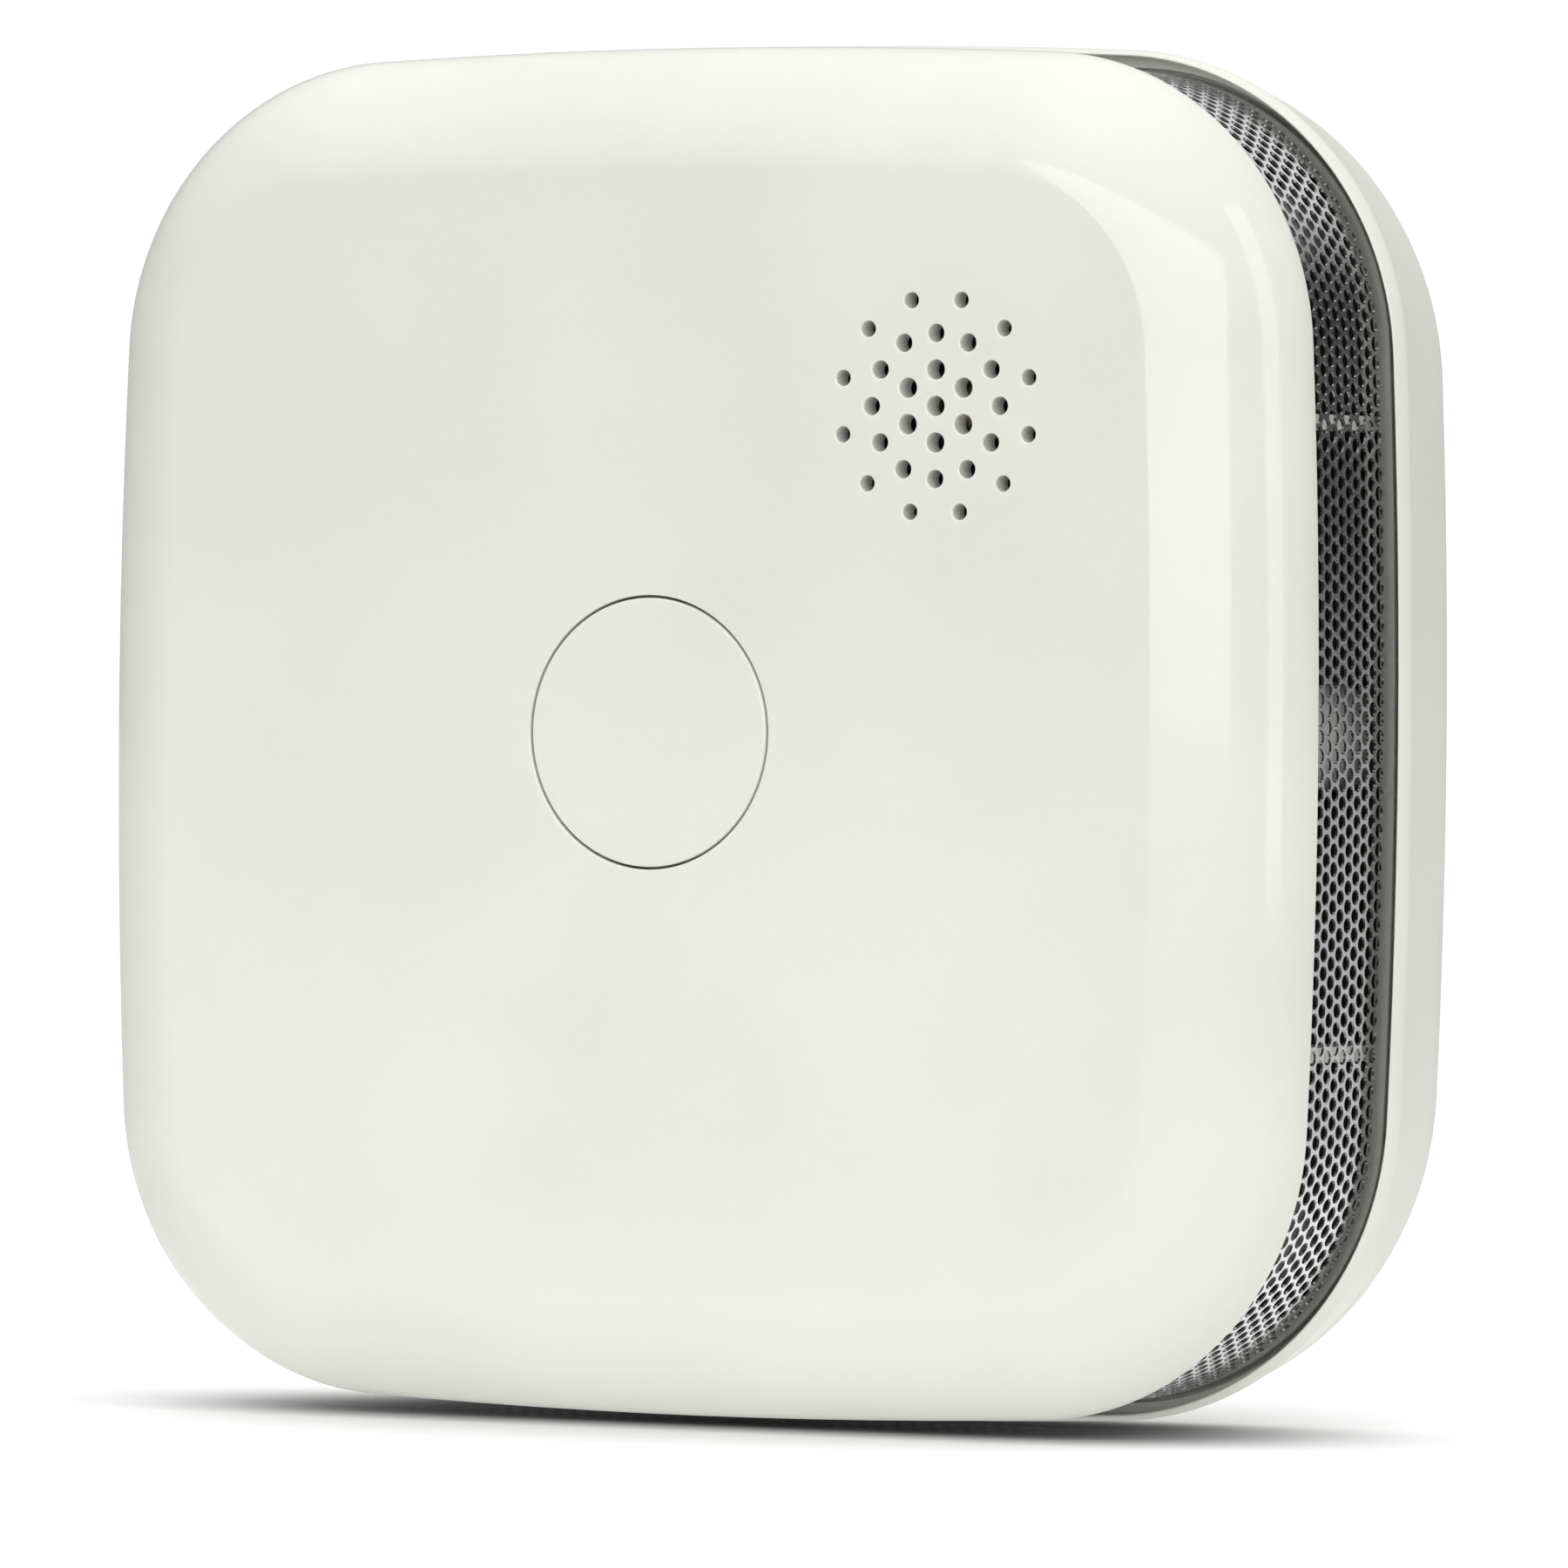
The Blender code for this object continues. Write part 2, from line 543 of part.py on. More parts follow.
def mounting_plate():
    """The wall plate: a ring with two rims, four bayonet slots and four wall-screw slots."""
    inner_rim, outer_rim = PLATE_OPENING + PLATE_RIM, PLATE_RADIUS - PLATE_RIM
    profile = [(PLATE_RADIUS, PLATE_HEIGHT), (PLATE_RADIUS, 0), (outer_rim, 0),
               (outer_rim, PLATE_WEB), (inner_rim, PLATE_WEB), (inner_rim, 0),
               (PLATE_OPENING, 0), (PLATE_OPENING, PLATE_HEIGHT)]
    piece = turned("mounting_plate", profile, "white_satin", steps=48)
    cuts = bmesh.new()
    half_hook = HOOK_SPAN / 2 + HOOK_PLAY
    low, high = PLATE_WEB - WALL, PLATE_HEIGHT + WALL
    narrow = ring_section(HOOK_RADIUS, HOOK_STEM + 2 * GAP, low, high)
    wide = ring_section(HOOK_RADIUS, HOOK_HEAD + 2 * GAP, low - WALL, high + WALL)
    for angle in HOOK_ANGLES:
        arc_block(cuts, narrow, angle - half_hook, angle + half_hook + TWIST)
    centre, length, width = WALL_SLOT
    pads, pockets = bmesh.new(), bmesh.new()
    for side in (1, -1):
        for turn in (0, 1):
            add_slab(pads, side * centre, turn, SEAT_PAD, 0, PLATE_WEB + BEDDED)
            add_slab(pockets, side * centre, turn, SEAT_POCKET, SEAT_HEIGHT, high)
            add_slab(cuts, side * centre, turn, (width, length), low - WALL, high + WALL)
    combine(piece, pads, "UNION", "screw_pads")
    combine(piece, pockets, "DIFFERENCE", "screw_pockets")
    combine(piece, cuts, "DIFFERENCE", "plate_slots")
    cuts = bmesh.new()
    for angle in HOOK_ANGLES:
        arc_block(cuts, wide, angle + TWIST - half_hook, angle + TWIST + half_hook)
    combine(piece, cuts, "DIFFERENCE", "plate_entries")


def battery_door():
    """The door over the battery, with its hinge barrel, two pegs and a finger tab."""
    axis_up, axis_out = DOOR_AXIS
    rear = RECESS_FLOOR - axis_out
    bm = bmesh.new()
    add_box(bm, (-DOOR_HALF, DOOR_BOTTOM - axis_up, rear), (DOOR_HALF, 0, rear + DOOR_THICK))
    piece = finish_object("battery_door", bm, "white_satin", (0, axis_up, axis_out))
    extras = bmesh.new()
    add_rod(extras, (0, 0, 0), DOOR_BARREL, -DOOR_HALF, DOOR_HALF, 16, "X")
    combine(piece, extras, "UNION", "door_barrel")
    extras = bmesh.new()
    add_rod(extras, (0, 0, 0), PEG_RADIUS, -DOOR_HALF - PEG_LENGTH, DOOR_HALF + PEG_LENGTH, 12, "X")
    add_box(extras, (-TAB_HALF, DOOR_BOTTOM - axis_up - TAB_LENGTH, rear),
            (TAB_HALF, DOOR_BOTTOM - axis_up + BEDDED, rear + TAB_THICK))
    combine(piece, extras, "UNION", "door_pegs_and_tab")


def battery():
    """The lithium cell, lying across the bay, with its raised positive end."""
    end = BATTERY_LENGTH / 2
    shoulder = end - TERMINAL_HEIGHT
    profile = [(0, end), (TERMINAL_RADIUS, end), (TERMINAL_RADIUS, shoulder),
               (BATTERY_RADIUS - CELL_EDGE, shoulder), (BATTERY_RADIUS, shoulder - CELL_EDGE),
               (BATTERY_RADIUS, CELL_EDGE - end), (BATTERY_RADIUS - CELL_EDGE, -end), (0, -end)]
    piece = turned("battery", profile, "cell_wrap", (BATTERY_START + end, *BATTERY_AT))
    piece.rotation_euler = (0, math.pi / 2, 0)


def battery_contacts():
    """A leaf for each end of the cell, and the coil spring at the negative end."""
    low, high = [-half for half in CONTACT_HALF], CONTACT_HALF
    positive = box("battery_contact_positive", (0, *low), (CONTACT_SHEET, *high), "nickel",
                   (CONTACT_X, *BATTERY_AT))
    bump = bmesh.new()
    add_rod(bump, (0, 0, 0), BUMP[0], -BUMP[1], CONTACT_SHEET / 2, 16, "X")
    combine(positive, bump, "UNION", "contact_bump")
    box("battery_contact_negative", (-CONTACT_SHEET, *low), (0, *high), "nickel",
        (-CONTACT_X, *BATTERY_AT))
    steps = 10
    start = -CONTACT_X + GAP + SPRING_WIRE
    end = BATTERY_START - GAP - SPRING_WIRE
    wide, narrow = SPRING_RADII
    points = []
    for i in range(SPRING_TURNS * steps + 1):
        share = i / (SPRING_TURNS * steps)
        radius = wide + (narrow - wide) * share
        angle = i * math.tau / steps
        points.append((start + (end - start) * share, BATTERY_AT[0] + radius * math.cos(angle),
                       BATTERY_AT[1] + radius * math.sin(angle)))
    wire("battery_spring", points, SPRING_WIRE, "steel")


def inner_frame():
    """The dark tray over the base's floor, which holds the posts and keeps stray light out."""
    (outer, inner), (low, floor, edge) = FRAME_SKIN, FRAME_HEIGHTS
    rings = [cover_ring(outer, low), cover_ring(outer, edge),
             cover_ring(inner, edge), cover_ring(inner, floor)]
    piece = finish_object("inner_frame", loft(rings), "black_matte")
    cuts = bmesh.new()
    wide, bottom, top = BAY_HALF + BAY_WALL, BAY_BOTTOM - BAY_WALL, BAY_TOP + BAY_WALL
    margin = COLLAR + GAP
    above = edge + WALL
    add_box(cuts, (-wide - margin, bottom - margin, 0), (wide + margin, top + margin, above))
    for x, y in case_screw_places():
        add_rod(cuts, (x, y, 0), BASE_BOSS_RADIUS + FRAME_PLAY, 0, above, 16)
    for side in (-1, 1):
        add_rod(cuts, (side * POST_AT, 0, 0), POST_RADIUS + FRAME_PLAY, 0, above, 16)
    add_ribs(cuts, FRAME_PLAY, 0, above)
    combine(piece, cuts, "DIFFERENCE", "frame_cuts")


def circuit_board():
    """The round board, with holes for its two screws."""
    rings = [(BOARD_HALF, BOARD_CORNER, BOARD_REAR), (BOARD_HALF, BOARD_CORNER, BOARD_FRONT)]
    piece = finish_object("circuit_board", loft(rings), "board_green")
    cuts = bmesh.new()
    for side in (-1, 1):
        add_rod(cuts, (side * POST_AT, 0, 0), BOARD_HOLE_RADIUS, BOARD_REAR - WALL,
                BOARD_FRONT + WALL, 12)
    combine(piece, cuts, "DIFFERENCE", "board_holes")


def vane(bm, angle):
    """One bent wall of the labyrinth, which lets smoke past but not light."""
    low, high = CHAMBER_LOW + CHAMBER_SKIN + GAP, CHAMBER_HIGH - CHAMBER_SKIN / 2
    turn = Matrix.Rotation(math.radians(angle), 4, "Z")
    left, right = [], []
    for (x0, y0), (x1, y1) in zip(VANE_ELBOW, VANE_ELBOW[1:]):
        normal = Vector((y0 - y1, x1 - x0)).normalized() * VANE_THICK / 2
        for x, y in ((x0, y0), (x1, y1)):
            left.append(Vector((x * MM + normal.x, y * MM + normal.y, low)))
            right.append(Vector((x * MM - normal.x, y * MM - normal.y, low)))
    left[1:3] = [(left[1] + left[2]) / 2]
    right[1:3] = [(right[1] + right[2]) / 2]
    corners = [bm.verts.new(turn @ point) for point in left + right[::-1]]
    grown = bmesh.ops.extrude_face_region(bm, geom=[bm.faces.new(corners)])
    moved = [v for v in grown["geom"] if isinstance(v, bmesh.types.BMVert)]
    bmesh.ops.translate(bm, verts=moved, vec=(0, 0, high - low))


def smoke_chamber():
    """The labyrinth on the board's rear, its cap, and the emitter and detector inside."""
    at = (*CHAMBER_AT, 0)
    base = rod("chamber_base", at, CHAMBER_RADIUS, CHAMBER_HIGH - CHAMBER_SKIN, CHAMBER_HIGH,
               "black_matte", 48)
    vanes = bmesh.new()
    for i in range(VANE_COUNT):
        vane(vanes, i * 360 / VANE_COUNT)
    combine(base, vanes, "UNION", "chamber_vanes")
    high = CHAMBER_LOW + CHAMBER_SKIN
    profile = [(0, high), (CHAMBER_RADIUS, high), (CHAMBER_RADIUS, CHAMBER_LOW + 0.4 * MM),
               (CHAMBER_RADIUS - 0.4 * MM, CHAMBER_LOW), (0, CHAMBER_LOW)]
    turned("chamber_cap", profile, "black_matte", at, 48)
    profile = [(0, 2.4 * MM), (0.8 * MM, 2.2 * MM), (1.35 * MM, 1.5 * MM), (1.5 * MM, 0.8 * MM),
               (1.5 * MM, -1.8 * MM), (1.9 * MM, -1.8 * MM), (1.9 * MM, -2.6 * MM), (0, -2.6 * MM)]
    distance, height = LENS_AT
    for name, angle, material in (("ir_emitter", 205, "clear_blue"), ("photodiode", -20, "dark_lens")):
        x, y = polar(distance, angle)
        lamp = turned(name, profile, material, (CHAMBER_AT[0] + x, CHAMBER_AT[1] + y, height), 16)
        aim = Vector((-x, -y, 0))
        lamp.rotation_euler = aim.to_track_quat("Z", "Y").to_euler()


def test_button():
    """The round button: a cup with a flange that holds it in, and a stem down to the switch."""
    ceiling = FACE_HEIGHT - WALL
    flange, depth = FLANGE
    flange_top, flange_low = ceiling - GAP, ceiling - depth
    profile = [(0, FACE_HEIGHT), (BUTTON_RADIUS - SOFT_EDGE, FACE_HEIGHT),
               (BUTTON_RADIUS, FACE_HEIGHT - SOFT_EDGE), (BUTTON_RADIUS, flange_top),
               (flange, flange_top), (flange, flange_low), (CUP_RADIUS, flange_low),
               (CUP_RADIUS, CUP_TOP), (STEM_RADIUS, CUP_TOP), (STEM_RADIUS, STEM_END),
               (0, STEM_END)]
    turned("test_button", profile, "white_gloss", steps=48)


def button_retainer():
    """The ring behind the button, which stops it from falling in."""
    top = FACE_HEIGHT - WALL - GAP
    (outside, inside, flange), (low, high) = RETAINER_RADII, RETAINER_HEIGHTS
    profile = [(outside, top), (outside, low), (flange, low), (flange, high), (inside, high),
               (inside, top)]
    turned("button_retainer", profile, "white_satin", steps=32)


def tact_switch():
    """The switch under the button: a square body with a blind bore, and its plunger."""
    body = box("switch_body", (-SWITCH_HALF, -SWITCH_HALF, BOARD_FRONT + GAP),
               (SWITCH_HALF, SWITCH_HALF, SWITCH_TOP), "chip_black")
    bore = bmesh.new()
    add_rod(bore, (0, 0, 0), *SWITCH_BORE, SWITCH_TOP + WALL, 20)
    combine(body, bore, "DIFFERENCE", "switch_bore")
    rod("switch_plunger", (0, 0, 0), *PLUNGER, "lead_black", 20)


def sounder():
    """The resonator cup with its brass disc, foam ring and two leads."""
    at = (*GRILLE_AT, 0)
    low, high, seat = BOARD_FRONT + GAP, RESONATOR_TOP, RESONATOR_SEAT
    skin, foot, cavity, mouth = RESONATOR_RADII
    ceiling = high - RESONATOR_SKIN
    profile = [(skin, high), (skin, low), (foot, low), (foot, seat), (cavity, seat),
               (cavity, ceiling), (mouth, ceiling), (mouth, high)]
    turned("sounder_cup", profile, "black_matte", at, 36)
    (disc, front, rear), (ceramic, ceramic_rear) = DISC, CERAMIC
    profile = [(0, front), (disc, front), (disc, rear), (ceramic, rear), (ceramic, ceramic_rear),
               (0, ceramic_rear)]
    turned("piezo_disc", profile, "brass", at, 36)
    top = FACE_HEIGHT - WALL - GAP
    outside, inside = GASKET_RADII
    profile = [(outside, top), (outside, high + GAP), (inside, high + GAP), (inside, top)]
    turned("sounder_gasket", profile, "foam_grey", at, 36)
    leads = (("sounder_lead_red", 5.0 * MM, "lead_red"), ("sounder_lead_black", 10.0 * MM, "lead_black"))
    for name, shift, material in leads:
        x, y = GRILLE_AT[0] - shift, GRILLE_AT[1]
        points = [(x, y - down * MM, height * MM) for down, height in LEAD_BEND]
        wire(name, points, LEAD_RADIUS, material)


def board_parts():
    """What else the board carries: controller, status light, coil, capacitor."""
    front = BOARD_FRONT + GAP
    rear = BOARD_REAR - GAP
    box("microcontroller", (-4 * MM, -4 * MM, front), (4 * MM, 4 * MM, front + 1.4 * MM),
        "chip_black", (-24 * MM, 14 * MM, 0), 0.3 * MM)
    box("status_led", (-1.6 * MM, -1 * MM, front), (1.6 * MM, 1 * MM, front + 1.3 * MM),
        "led_clear", (0, 5.4 * MM, 0), 0.2 * MM)
    coil = [(3.6 * MM, rear), (3.6 * MM, rear - 1 * MM), (2.9 * MM, rear - 1 * MM),
            (2.9 * MM, rear - 6 * MM), (3.6 * MM, rear - 6 * MM), (3.6 * MM, rear - 7 * MM),
            (0, rear - 7 * MM)]
    turned("sounder_coil", [(0, rear)] + coil, "chip_black", (31 * MM, -14 * MM, 0), 24)
    can = [(4 * MM, rear), (4 * MM, rear - 10.4 * MM), (3.4 * MM, rear - 11 * MM),
           (0, rear - 11 * MM)]
    turned("storage_capacitor", [(0, rear)] + can, "capacitor_wrap", (30 * MM, -27 * MM, 0), 24)


def screws():
    """Four case screws from the rear, and two board screws from the front."""
    head, outside, seat = SCREW_HEAD
    dome = 0.5 * MM
    profile = [(0, SCREW_TIP), (dome, SCREW_TIP), (SCREW_THREAD, SCREW_TIP - 1.2 * MM),
               (SCREW_THREAD, seat), (head, seat), (head, outside + dome), (head - dome, outside),
               (0, outside)]
    for number, (x, y) in enumerate(case_screw_places(), 1):
        turned("case_screw_%d" % number, profile, "steel", (x, y, 0), 12)
    head, thread, end = 2.3 * MM, 1.0 * MM, 21.0 * MM
    low, top = BOARD_FRONT + GAP, BOARD_FRONT + GAP + 1.3 * MM
    profile = [(0, top), (head - dome, top), (head, top - dome), (head, low), (thread, low),
               (thread, end), (0, end)]
    for name, side in (("board_screw_left", -1), ("board_screw_right", 1)):
        turned(name, profile, "steel", (side * POST_AT, 0, 0), 12)


def make_material(name, colour, roughness, metallic):
    """A Principled material."""
    material = bpy.data.materials.new(name)
    material.use_nodes = True
    shader = material.node_tree.nodes["Principled BSDF"]
    shader.inputs["Base Color"].default_value = (*colour, 1)
    shader.inputs["Roughness"].default_value = roughness
    shader.inputs["Metallic"].default_value = metallic
    return material


for old in list(bpy.data.objects):
    bpy.data.objects.remove(old)

pieces = bpy.data.collections.new("smoke_detector")
cutters = bpy.data.collections.new("guides")
bpy.context.scene.collection.children.link(pieces)
bpy.context.scene.collection.children.link(cutters)
materials = {name: make_material(name, *look) for name, look in COLOURS.items()}
stand = bpy.data.objects.new("upright", None)
stand.rotation_euler = (math.pi / 2, 0, 0)
cutters.objects.link(stand)

front_cover()
insect_mesh()
rear_housing()
mounting_plate()
battery_door()
battery()
battery_contacts()
inner_frame()
circuit_board()
smoke_chamber()
test_button()
button_retainer()
tact_switch()
sounder()
board_parts()
screws()
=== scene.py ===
"""Looks of the square smoke detector: fine shells, perforated band, materials, light and camera.

Pieces are modelled lying on their backs, as the solids are: X to the right, Y up the wall and Z
away from the wall. finish_piece turns each mesh upright, so that the face looks along -Y.
"""
import bisect
import math

import bmesh
import bpy
from mathutils import Matrix, Vector


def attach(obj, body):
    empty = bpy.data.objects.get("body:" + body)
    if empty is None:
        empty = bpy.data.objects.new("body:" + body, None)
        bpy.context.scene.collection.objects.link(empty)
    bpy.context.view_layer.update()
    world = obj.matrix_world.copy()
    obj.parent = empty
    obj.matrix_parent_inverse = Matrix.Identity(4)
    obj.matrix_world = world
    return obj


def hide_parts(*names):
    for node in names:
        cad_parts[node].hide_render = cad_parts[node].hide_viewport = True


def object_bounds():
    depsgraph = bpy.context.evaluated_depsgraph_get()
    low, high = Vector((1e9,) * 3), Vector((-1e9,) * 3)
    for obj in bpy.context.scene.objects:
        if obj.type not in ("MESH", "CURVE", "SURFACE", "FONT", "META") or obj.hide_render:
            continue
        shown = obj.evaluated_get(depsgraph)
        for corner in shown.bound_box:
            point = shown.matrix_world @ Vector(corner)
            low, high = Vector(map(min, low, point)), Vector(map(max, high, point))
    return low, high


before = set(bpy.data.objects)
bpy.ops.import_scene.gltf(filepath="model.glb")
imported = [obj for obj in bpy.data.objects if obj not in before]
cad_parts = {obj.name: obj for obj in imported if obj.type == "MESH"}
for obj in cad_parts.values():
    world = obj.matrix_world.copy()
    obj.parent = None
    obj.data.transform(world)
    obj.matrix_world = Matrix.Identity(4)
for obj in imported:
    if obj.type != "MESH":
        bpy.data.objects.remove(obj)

cad_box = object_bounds()

MM = 0.001
GAP = 0.3 * MM
UPRIGHT = Matrix.Rotation(math.pi / 2, 4, "X")

# Casing, as in the solids
HALF = 55.0 * MM
CORNER = 24.3 * MM
BOW = 0.72 * MM
FACE_HEIGHT = 37.6 * MM
RIM_HEIGHT = 27.5 * MM
FACE_HALF = 45.0 * MM
ROLL_POWER = 1.65
WALL = 2.0 * MM
LIP_HALF = 55.7 * MM
LIP_CORNER = 25.8 * MM
LIP_FOOT = 13.0 * MM
LIP_HEIGHT = 14.35 * MM
LIP_BEVEL = 0.3 * MM
SHELF_HEIGHT = 12.0 * MM
BASE_HALF = 54.8 * MM
BASE_CORNER = 26.7 * MM
BASE_HEIGHT = 0.4 * MM
BASE_ROUND = 6.0 * MM
BASE_FLOOR = 2.6 * MM
BEDDED = 1.0 * MM                 # how far a part that is joined on runs into its neighbour
INSIDE_HALF = 52.4 * MM
MESH_HALF = 54.0 * MM
MESH_SHEET = 0.3 * MM
GROOVE_DEPTH = 1.1 * MM

# Finer divisions than the solids have
SIDE_STEPS = 12
CORNER_STEPS = 36
ROLL_STEPS = 22
ROUND_STEPS = 10
TURN_STEPS = 128

# Perforation of the band: round holes on a triangular grid
HOLE_PITCH = 1.485 * MM
HOLE_RADIUS = 0.61 * MM
SHEET = 0.2 * MM                  # the real sheet; its slots are as wide as the solid band
FIRST_ROW = 15.1 * MM
HOLE_ROWS = 9
HOLE_SIDES = 12

# Button and grille
BUTTON_RADIUS = 10.75 * MM
BUTTON_HOLE = 10.95 * MM
GRILLE_AT = (25.9 * MM, 26.0 * MM)
GRILLE_PITCH = 2.88 * MM
GRILLE_RINGS = ((6, 0.0, 0.79), (12, 0.0, 0.72), (12, 0.5, 0.64))
EDGE = 0.12 * MM                  # rounding of the holes' front edges
FLANGE = (12.3 * MM, 1.1 * MM)    # radius of the button's flange, its rear below the ceiling
CUP_RADIUS = 9.3 * MM
CUP_TOP = FACE_HEIGHT - 1.6 * MM
STEM_RADIUS = 1.8 * MM
STEM_END = 33.5 * MM

# Base, plate and door
PLATE_RADIUS = 43.4 * MM
PLATE_OPENING = 30.0 * MM
PLATE_HEIGHT = 3.2 * MM
PLATE_WEB = 1.4 * MM
PLATE_RIM = 1.5 * MM
RECESS_RADIUS = 44.0 * MM
RECESS_FLOOR = 3.7 * MM
HOOK_ANGLES = (45, 135, 225, 315)
HOOK_RADIUS = 38.0 * MM
HOOK_SPAN = 6.0                   # degrees
HOOK_PLAY = 0.8                   # degrees at either end
HOOK_STEM = 2.0 * MM
HOOK_HEAD = 5.6 * MM
HOOK_TOP = 0.4 * MM
TWIST = 15.0
WALL_SLOT = (35.7 * MM, 8.0 * MM, 4.5 * MM)
SEAT_PAD = (8.4 * MM, 12.6 * MM)
SEAT_POCKET = (7.2 * MM, 11.4 * MM)
SEAT_HEIGHT = 1.2 * MM
PLATE_RIB_ANGLES = (24, 114, 204, 294)
BAY_HALF = 20.25 * MM
BAY_BOTTOM = -16.0 * MM
BAY_TOP = 2.0 * MM
BAY_WALL = 1.5 * MM
BAY_ROOF = 24.1 * MM
COLLAR = 2.2 * MM
COLLAR_HEIGHT = 1.5 * MM
DOOR_HALF = 22.0 * MM
DOOR_BOTTOM = -18.0 * MM
DOOR_THICK = 1.7 * MM
DOOR_AXIS = (3.1 * MM, 4.6 * MM)
DOOR_BARREL = 0.85 * MM
PEG_RADIUS = 0.5 * MM
PEG_LENGTH = 0.9 * MM
BARREL_PLAY = 0.35 * MM
PEG_PLAY = 0.1 * MM
TAB_HALF = 5.0 * MM
TAB_LENGTH = 2.5 * MM
TAB_THICK = 0.9 * MM
TAB_PLAY = 1.0 * MM               # room for a fingertip round the tab
GRIP_COUNT = 5
GRIP_STEP = 1.3 * MM
BATTERY_RADIUS = 8.5 * MM
BATTERY_LENGTH = 34.5 * MM
BATTERY_START = -15.55 * MM
BATTERY_AT = (-7.0 * MM, 14.7 * MM)
CASE_SCREW_AT = 40.0 * MM
COVER_BOSS_RADIUS = 3.4 * MM
BASE_BOSS_RADIUS = 4.2 * MM
WELL_RADIUS = 3.0 * MM
WELL_FLOOR = 21.5 * MM
CASE_HOLE_RADIUS = 1.6 * MM
CASE_HOLE_END = 33.0 * MM
BOARD_HOLE_RADIUS = 1.3 * MM
SCREW_HOLES = (20.0 * MM, 28.0 * MM)
SCREW_HEAD = (2.7 * MM, 19.3 * MM, 21.2 * MM)    # radius, outside and seat
SCREW_TIP = 32.0 * MM
SCREW_THREAD = (1.05 * MM, 1.3 * MM)    # radius at the root and at the crest
THREAD_PITCH = 0.8 * MM
THREAD_TURNS = 11
CROSS_HALF = (1.35 * MM, 0.28 * MM)
CROSS_DEPTH = 1.1 * MM
POST_AT = 46.0 * MM
POST_RADIUS = 4.2 * MM
BOARD_REAR = 27.0 * MM
RIB_AT = 25.0 * MM
RIB_SPAN = (48.0 * MM, 52.2 * MM)
RIB_THICK = 1.2 * MM
RIB_START = 1.8 * MM              # above the base's rear

# Camera
VIEW_AZIMUTH = 0.5146             # to the right of the face's axis, in radians
VIEW_DOWN = 0.0107                # and looking down this much
VIEW_ROLL = 0.008
VIEW_DISTANCE = 1.1
AIM_RIGHT = 10.83 * MM            # where the middle of the picture falls, from the face's centre
AIM_UP = -4.12 * MM
LENS = 316.6                      # on a 36 mm wide sensor

# Room and floor
ROOM_FRONT = 0.36
ROOM_BACK = 0.5
ROOM_ABOVE = 1.1
DARK_PANEL = (0.5, 0.866, 0.0)    # the way to a dark panel, behind the object on its right
ROOM_DARK = 0.05
WHITE_BEHIND = 1.05               # how bright the camera sees room and far floor
FLOOR_GLOSS = 0.04
FLOOR_GLOW = 0.3
FLOOR_BOUNCE = 0.7                # how much of its light the near floor throws on the object
BOUNCE_GLOW = 0.36                # what the floor right under the object adds to that
FLOOR_FAR = 0.65                  # what the far floor throws on the object
# The floor's painted contact shadow: how far from the object it reaches, and the power that sets how dark
# it is
PAINTED_SHADOW_REACH = 0.085
PAINTED_SHADOW_DEPTH = 0.85


# ---------------------------------------------------------------- shapes

def spread(start, end, steps):
    """Values from start up to, but not including, end."""
    return [start + (end - start) * i / steps for i in range(steps)]


def outline(half, corner, side_steps=SIDE_STEPS, corner_steps=CORNER_STEPS):
    """Points round a square with bowed sides and round corners, anticlockwise."""
    reach = HALF - CORNER
    side_radius = (reach ** 2 + BOW ** 2) / (2 * BOW)
    side_centre = half - side_radius
    between = side_radius - corner
    corner_centre = (side_centre + math.sqrt(2 * between ** 2 - side_centre ** 2)) / 2
    turn = math.atan2(corner_centre, corner_centre - side_centre)
    points = []
    for quarter in range(4):
        rotate = Matrix.Rotation(quarter * math.pi / 2, 2)
        for t in spread(-turn, turn, side_steps):
            side = (side_centre + side_radius * math.cos(t), side_radius * math.sin(t))
            points.append(rotate @ Vector(side))
        for t in spread(turn, math.pi / 2 - turn, corner_steps):
            bend = (corner_centre + corner * math.cos(t), corner_centre + corner * math.sin(t))
            points.append(rotate @ Vector(bend))
    return points


def cover_ring(half, height):
    """A section of the cover, whose corners keep the rim's corner centre."""
    return half, CORNER - (HALF - half), height


def base_ring(half, height):
    """A section of the base's side and of the round to its rear."""
    return half, BASE_CORNER - (BASE_HALF - half), height


def lip_ring(half, height):
    """A section of the base's lip."""
    return half, LIP_CORNER - (LIP_HALF - half), height


def roll_over(face, rim, high, low, steps=ROLL_STEPS):
    """The curve from the flat face down to the rim, as (half width, height) pairs."""
    curve = []
    for t in spread(0, math.pi / 2, steps):
        out = math.sin(t) ** (2 / ROLL_POWER)
        up = math.cos(t) ** (2 / ROLL_POWER)
        curve.append((face + (rim - face) * out, low + (high - low) * up))
    return curve + [(rim, low)]


def corner_arc(half, height, radius):
    """The round from a base's rear face out to its side, as (half width, height) pairs."""
    arc = []
    for t in spread(0, math.pi / 2, ROUND_STEPS) + [math.pi / 2]:
        arc.append((half - radius + radius * math.sin(t), height + radius - radius * math.cos(t)))
    return arc


def polar(radius, degrees):
    """A point at a distance and angle from the axis."""
    angle = math.radians(degrees)
    return radius * math.cos(angle), radius * math.sin(angle)


def loft(sections, closed=False):
    """Skin between outlines of different sizes; the ends are capped unless it closes on itself."""
    bm = bmesh.new()
    rings = []
    for half, corner, height in sections:
        rings.append([bm.verts.new((x, y, height)) for x, y in outline(half, corner)])
    pairs = list(zip(rings, rings[1:]))
    if closed:
        pairs.append((rings[-1], rings[0]))
    for lower, upper in pairs:
        for i, start in enumerate(lower):
            following = (i + 1) % len(lower)
            bm.faces.new((start, lower[following], upper[following], upper[i]))
    if not closed:
        bm.faces.new(rings[0])
        bm.faces.new(rings[-1])
    bmesh.ops.recalc_face_normals(bm, faces=bm.faces)
    return bm


